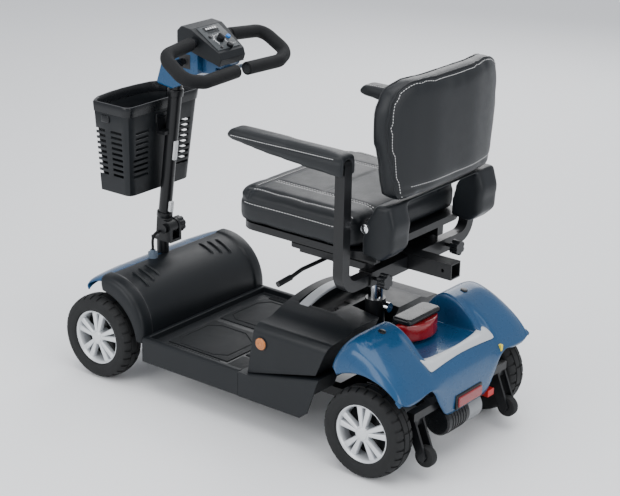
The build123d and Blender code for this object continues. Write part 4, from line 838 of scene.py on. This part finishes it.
# %% Key switch, paddle, lamp and bar
bm = bmesh.new()
soft_block(bm, (47.0, -296, 747), (50.4, -262, 781), 9.0, segments=5)
disc(bm, (50.4, -278, 764), (1, 0, 0), 8.6, 3, ease=1)
switch = finished("key_switch", bm, socket_dark, "tiller")
paddle = eased_copy("throttle_paddle", "paddle_blades", 1.2, control_grey, "throttle")
bm = bmesh.new()
soft_block(bm, (-31, -303, 812.5), (31, -300.2, 829.5), 1.2)
glass = finished("lamp_cover", bm, clear_cover, "tiller")
foam = eased_copy("handlebar_grips", "foam_grips", 5.0, foam_grip, "tiller", corner=50)
bm = bmesh.new()
for side in (-1, 1):
    x0, x1, y = side * 64, side * 70, -246
    disc(bm, (side * 65.5, -244.5, 813.2), (1, side * 0.1, 0), 13.2, 6, ease=1.2)
ferrules = finished("bar_collars", bm, gloss_moulding, "tiller")

# %% [markdown]
# ## Basket
# The basket is one moulded shell, so it is pulled as a skin through rings that get wider
# towards the rim. The rings fall on the edges of the slots: the faces that are slots are
# deleted, and the wall gets its thickness afterwards, so each slot has real sides.

# %% Rings, slots and rim
basket_low, basket_high = 420.5, 645.5


def basket_ring(z, grow=0.0):
    """The basket's outline at one height, as a closed row of points."""
    share = (z - basket_low) / (basket_high - basket_low)
    half = 104.5 + 20.5 * share + grow
    rear = -405.5 + 17.5 * share + grow
    front = -520 - 7 * share - grow
    soft = 14.0
    right = [(half * 0.18, rear), (half * 0.42, rear), (half * 0.80, rear), (half - soft, rear),
             (half - soft * 0.3, rear - soft * 0.3), (half, rear - soft), (half, -424 + 10 * share),
             (half, -456 + 5 * share), (half, -471), (half, -500), (half - 3, front + 32),
             (half - 12, front + 20), (half * 0.72, front + 8.5), (half * 0.36, front + 2)]
    left = [(-x, y) for x, y in reversed(right)]
    return [(x, y, z) for x, y in right + [(0, front)] + left]


slot_rows = [576 - 13.6 * row for row in range(9)]
heights = sorted([basket_low, 440, 600, 621] + [z + d for z in slot_rows for d in (-3.4, 3.4)])
bm = bmesh.new()
skin(bm, [basket_ring(z) for z in heights], closed=True)
openings = []
for face in bm.faces:
    spot = face.calc_center_median() / MM
    in_row = any(abs(spot.z - z) < 2.0 for z in slot_rows)
    behind = spot.y > -412 and 0.42 < abs(spot.x) / 118 < 0.80
    beside = abs(spot.x) > 98 and (-460 < spot.y < -420 or -502 < spot.y < -470)
    if in_row and (behind or beside):
        openings.append(face)
bmesh.ops.delete(bm, geom=openings, context="FACES")
floor_edges = [e for e in bm.edges if e.is_boundary and max(v.co.z for v in e.verts) < (basket_low + 1) * MM]
bmesh.ops.contextual_create(bm, geom=floor_edges)
bmesh.ops.recalc_face_normals(bm, faces=bm.faces)
basket = finished("basket_shell", bm, black_moulding, "basket_unit", sharp=40)
thicken(basket, 2.8, rounding=0.6)
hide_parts("basket")
bm = bmesh.new()
skin(bm, [basket_ring(620, -1.0), basket_ring(621, 1.6), basket_ring(632, 2.4), basket_ring(644, 2.4),
          basket_ring(646, 1.2), basket_ring(646, -2.0), basket_ring(643, -3.4), basket_ring(622, -3.4),
          basket_ring(620, -1.0)], closed=True)
bmesh.ops.remove_doubles(bm, verts=bm.verts, dist=1e-6)
bmesh.ops.recalc_face_normals(bm, faces=bm.faces)
rim_band = finished("basket_rim", bm, gloss_moulding, "basket_unit", sharp=50)
bm = bmesh.new()
soft_block(bm, (-30, -393.5, 590), (30, -387, 613), 2.5)
soft_block(bm, (106, -478, 598), (125.5, -452, 616), 3)
hook = finished("basket_boss", bm, gloss_moulding, "basket_unit")

# %% [markdown]
# ## Upholstery
# A cushion is not a block: the cover is sewn flat and the foam pushes it tight, so it swells
# between the seams. The CAD solid is the pattern. It is shrunk a little, remeshed evenly,
# rounded, and then blown up by the cloth solver with gravity off. How far a point may move
# is capped, so the pad stays in the room that the frame keeps for it.


# %% Blow up a pad
def fit_to(bm, low, high):
    """Scale a mesh so that it fills a box."""
    own_low = Vector([min(v.co[i] for v in bm.verts) for i in range(3)])
    own_high = Vector([max(v.co[i] for v in bm.verts) for i in range(3)])
    for vert in bm.verts:
        vert.co = Vector([low[i] + (vert.co[i] - own_low[i]) * (high[i] - low[i]) / (own_high[i] - own_low[i])
                          for i in range(3)])


def smooth_mesh(bm, rounds):
    """Relax every point of a mesh a few times."""
    for _ in range(rounds):
        bmesh.ops.smooth_vert(bm, verts=bm.verts, factor=0.5, use_axis_x=True, use_axis_y=True, use_axis_z=True)


def puffed_pad(node, name, shrink, voxel, rounds, cap, pressure=4.0, material=leather_vinyl):
    """A padded copy of a CAD solid: remeshed, rounded and inflated."""
    bm = bmesh.new()
    bm.from_mesh(nodes[node].data)
    bmesh.ops.remove_doubles(bm, verts=bm.verts, dist=2e-5)
    low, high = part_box(node)
    room = Vector((shrink, shrink, shrink)) * MM
    mesh = bpy.data.meshes.new(name)
    bm.to_mesh(mesh)
    bm.free()
    pad = bpy.data.objects.new(name, mesh)
    scene.collection.objects.link(pad)
    even = pad.modifiers.new("even", "REMESH")
    even.mode = "VOXEL"
    even.voxel_size = voxel * MM
    bake_modifiers(pad)
    bm = bmesh.new()
    bm.from_mesh(pad.data)
    smooth_mesh(bm, rounds)
    fit_to(bm, low + room, high - room)
    bm.to_mesh(pad.data)
    bm.free()
    if pressure:
        inflate(pad, pressure, cap * MM)
    pad.data.shade_smooth()
    pad.data.materials.clear()
    pad.data.materials.append(material)
    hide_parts(node)
    print(name, len(pad.data.polygons), "faces")
    return pad


def bake_modifiers(piece):
    """Write a piece's modifiers into its mesh."""
    graph = bpy.context.evaluated_depsgraph_get()
    baked = bpy.data.meshes.new_from_object(piece.evaluated_get(graph), depsgraph=graph)
    piece.modifiers.clear()
    piece.data = baked


def inflate(pad, pressure, cap):
    """Run the cloth solver on a pad and keep its shape, with a cap on each point's move."""
    rest = [v.co.copy() for v in pad.data.vertices]
    cloth = pad.modifiers.new("cover", "CLOTH")
    cloth.settings.quality = 5
    cloth.settings.mass = 0.35
    cloth.settings.tension_stiffness = 18
    cloth.settings.compression_stiffness = 18
    cloth.settings.bending_stiffness = 1.2
    cloth.settings.use_pressure = True
    cloth.settings.uniform_pressure_force = pressure
    cloth.settings.effector_weights.gravity = 0
    for frame_number in range(1, 21):
        scene.frame_set(frame_number)
    graph = bpy.context.evaluated_depsgraph_get()
    blown = pad.evaluated_get(graph).data
    moved = [v.co.copy() for v in blown.vertices]
    pad.modifiers.clear()
    for vert, before, after in zip(pad.data.vertices, rest, moved):
        step = after - before
        if step.length > cap:
            step = step.normalized() * cap
        vert.co = before + step
    bm = bmesh.new()
    bm.from_mesh(pad.data)
    smooth_mesh(bm, 5)
    bm.to_mesh(pad.data)
    bm.free()
    scene.frame_set(1)


# %% Seams sunk into a pad
def sink(pad, distance_to_seam, depth, width):
    """Press a sewn line into a pad: each point near the seam moves in along its normal."""
    normals = [v.normal.copy() for v in pad.data.vertices]
    for vert, normal in zip(pad.data.vertices, normals):
        away = distance_to_seam(vert.co / MM, normal)
        if away is not None and away < 3 * width:
            vert.co -= normal * depth * MM * exp(-(away / width) ** 2)
    pad.data.update()


def smooth_pad(pad):
    """One subdivision over a finished pad."""
    fine = pad.modifiers.new("fine", "SUBSURF")
    fine.levels = 1
    fine.render_levels = 1
    bake_modifiers(pad)
    pad.data.shade_smooth()


def stitch_line(bm, tree, path, aim, spacing=7.0, length=4.4, radius=0.75):
    """Short threads laid along a path that is dropped onto a pad in one direction."""
    aim = Vector(aim).normalized()
    hits = []
    for start, end in zip(path, path[1:]):
        start, end = Vector(start), Vector(end)
        count = max(2, int((end - start).length / spacing))
        for i in range(count):
            spot = start.lerp(end, i / count)
            hit, normal, _, _ = tree.ray_cast(spot * MM - aim * 0.3, aim)
            if hit:
                hits.append((hit / MM, normal))
    for (a, normal), (b, _) in zip(hits, hits[1:]):
        run = b - a
        if 1 < run.length < 2.2 * spacing:
            run = run.normalized() * length
            lift = normal * 0.35
            tube(bm, [a + lift * 0.2, a + run * 0.5 + lift * 2, a + run + lift * 0.2], radius, sides=5)


# %% The tail lamp, rounded in the same way
for node, name, material, slot in (("tail_lamp_housing", "lamp_cap", gloss_moulding, "black_plastic"),
                                   ("tail_lamp_lens", "lamp_lens", lamp_red, "red_lens")):
    part = puffed_pad(node, name, 0, 2.2, 12, 0, pressure=0, material=material)
    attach(part, "chassis")

# %% [markdown]
# ### Seat cushion
# The seat has a thick front edge, two long sewn channels and a lighter thread that runs
# round its border. The channels are pressed in after the foam has swollen, because a remesh
# would rub them out.

# %% Make the seat cushion
channel_x = 112.0
border = 38.0
seat = puffed_pad("seat_cushion", "seat_pad", 4, 6, 6, 5)
seat_low, seat_high = [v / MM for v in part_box("seat_cushion")]


def seat_seams(spot, normal):
    """Distance in millimetres to the nearest sewn line of the seat."""
    if normal.z < 0.3:
        side_line = abs(spot.z - (seat_high.z - 26))
        return side_line if abs(normal.z) < 0.6 else None
    inside = seat_high.x - border - abs(spot.x)
    front_gap = abs(spot.y - (seat_low.y + border + 14))
    channel = abs(abs(spot.x) - channel_x) if spot.y > seat_low.y + border + 14 else 99
    cross = abs(spot.y - 170) if abs(spot.x) < channel_x else 99
    return min(abs(inside) if spot.y > seat_low.y + border else 99, front_gap, channel, cross)


sink(seat, seat_seams, 3.4, 5.0)
smooth_pad(seat)
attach(seat, "seat")
tree = BVHTree.FromPolygons([v.co for v in seat.data.vertices], [p.vertices for p in seat.data.polygons])
bm = bmesh.new()
front_y = seat_low.y + border + 14
for side in (-1, 1):
    for off in (-4, 4):
        stitch_line(bm, tree, [(side * (channel_x + off), front_y + 8, 500), (side * (channel_x + off), 318, 500)],
                    (0, 0, -1))
    stitch_line(bm, tree, [(side * (seat_high.x - border + 4), front_y, 500),
                           (side * (seat_high.x - border + 4), 318, 500)], (0, 0, -1))
    stitch_line(bm, tree, [(0, y, seat_high.z - 30) for y in (30, 120, 210, 300)], (-side, 0, 0))
stitch_line(bm, tree, [(-170, front_y - 5, 500), (170, front_y - 5, 500)], (0, 0, -1))
stitch_line(bm, tree, [(x, 0, seat_high.z - 30) for x in (-150, 0, 150)], (0, 1, 0))
seat_thread = finished("seat_stitches", bm, thread_white, "seat", sharp=80)

# %% [markdown]
# ### Backrest
# The backrest is bowed like the sitter's back. A cord of piping covers the seam where the
# rear panel meets the side band, and a zip closes the bottom. The piping follows the pad's
# own surface, found by casting rays at it from outside.

# %% Make the backrest
back_pad = puffed_pad("backrest_cushion", "back_pad", 3, 6, 26, 4)


def back_seams(spot, normal):
    """Distance in millimetres to the backrest's cross seams."""
    if normal.y > 0.5:
        return abs(spot.z - 632)
    if normal.y < -0.5:
        return min(abs(spot.z - 690), abs(abs(spot.x) - 120) if spot.z > 690 else 99)
    return None


sink(back_pad, back_seams, 2.6, 4.5)
smooth_pad(back_pad)
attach(back_pad, "backrest")
tree = BVHTree.FromPolygons([v.co for v in back_pad.data.vertices], [p.vertices for p in back_pad.data.polygons])


def back_edge(behind, inset):
    """Points round the pad where its side band turns into the rear or the front face."""
    middle_z = 740
    edge = []
    for step in range(73):
        angle = radians(-38 + 256 * step / 72)
        out_way = Vector((cos(angle), 0, sin(angle)))
        hits = []
        for y in range(340, 456, 3):
            hit, _, _, _ = tree.ray_cast(Vector((0, y, middle_z)) * MM + out_way * 0.4, -out_way)
            if hit:
                reach = (hit / MM - Vector((0, y, middle_z))).dot(out_way)
                hits.append((reach, hit / MM + out_way * 0.4))
        widest = max(reach for reach, _ in hits)
        band = [spot for reach, spot in hits if reach > widest - inset]
        edge.append(band[-1] if behind else band[0])
    return edge


bm = bmesh.new()
for behind in (True, False):
    tube(bm, back_edge(behind, 5), 2.3, sides=8)
piping = finished("back_piping", bm, leather_vinyl, "backrest", sharp=80)
bm = bmesh.new()
for behind in (True, False):
    edge = back_edge(behind, 12)
    for a, b in zip(edge, edge[1:]):
        if (b - a).length < 40:
            tube(bm, [a, a.lerp(b, 0.28)], 0.7, sides=5)
            tube(bm, [a.lerp(b, 0.5), a.lerp(b, 0.78)], 0.7, sides=5)
stitch_line(bm, tree, [(-150, 500, 637), (150, 500, 637)], (0, -1, 0), spacing=6, length=3.6, radius=0.6)
for side in (-1, 1):
    stitch_line(bm, tree, [(side * 124, 300, 700), (side * 124, 300, 840)], (0, 1, 0))
back_thread = finished("back_stitches", bm, thread_white, "backrest", sharp=80)

# %% [markdown]
# ### Armrests, hinge boots and bolts
# The arm pads are small boat shapes with a seam along each side. The boots that hide the
# backrest's hinges are stiff mouldings, and a bright bolt head shows on each.

# %% Arm pads, boots and bolts
for side, name in ((1, "left"), (-1, "right")):
    pad = puffed_pad("armrest_pad_" + name, "arm_pad_" + name, 1.0, 4, 6, 2, pressure=3.0)

    def arm_seams(spot, normal):
        """Distance to the seam that runs along the pad's side."""
        return abs(spot.z - (696 - 0.012 * (330 - spot.y))) if abs(normal.x) > 0.6 else None

    sink(pad, arm_seams, 1.6, 3.0)
    smooth_pad(pad)
    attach(pad, "pad_" + name)
    tree = BVHTree.FromPolygons([v.co for v in pad.data.vertices], [p.vertices for p in pad.data.polygons])
    bm = bmesh.new()
    stitch_line(bm, tree, [(side * 237, 40, 698), (side * 237, 320, 700)], (-side, 0, 0), spacing=6, length=3.8,
                radius=0.6)
    stitch_line(bm, tree, [(side * 222, 44, 700), (side * 222, 322, 700)], (0, 0, -1), spacing=6, length=3.8,
                radius=0.6)
    finished("arm_stitches_" + name, bm, thread_white, "pad_" + name, sharp=80)

boots = puffed_pad("backrest_frame", "hinge_boots", 0, 3.5, 14, 0, pressure=0, material=black_moulding)
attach(boots, "backrest")
bm = bmesh.new()
for side in (-1, 1):
    disc(bm, (side * 203, 355, 545), (side, 0, 0), 9.5, 4, ease=1.4)
    disc(bm, (side * 205.4, 355, 545), (side, 0, 0), 5.5, 3, ease=0.8, sides=6)
bolts = finished("hinge_bolts", bm, chrome, "backrest")

# %% [markdown]
# ## Seat frame details
# The slides, the square tubes and the post keep their CAD shapes. Small parts make them
# believable: eased knobs on the clamps and screw heads on the slides.

# %% Knobs and screws
knobs = eased_copy("clamp_knobs", "width_knobs", 1.4, gloss_moulding, "swivel_base")
bm = bmesh.new()
for side in (-1, 1):
    for y in (124, 298):
        disc(bm, (side * 120, y, 438.3), (0, 0, 1), 4.4, 1.6, ease=0.5, sides=6)
screws = finished("slide_screws", bm, steel, "swivel_base")

# %% [markdown]
# ## The frame's own pieces
# Everything that was not redrawn is still on show as the CAD made it. Those pieces only need
# a finish.

# %% Finish the remaining CAD pieces
plain_finishes = {
    black_paint: ["front_frame", "rear_frame", "front_knuckle_left", "front_knuckle_right", "steering_stem",
                  "tiller_tube", "seat_base", "seat_pan", "swivel_lever", "armrest_tube_left",
                  "armrest_tube_right"],
    steel: ["tie_rod"],
    chrome: ["seat_post", "post_lock_pin"],
    cast_metal: ["transaxle"],
    gloss_moulding: ["drive_motor", "battery_cells", "handlebar", "ignition_key"],
    clear_cover: ["headlight_lens"],
}
for material, names in plain_finishes.items():
    for name in names:
        nodes[name].data.materials.clear()
        nodes[name].data.materials.append(material)
print("finished CAD pieces:", sum(len(names) for names in plain_finishes.values()))
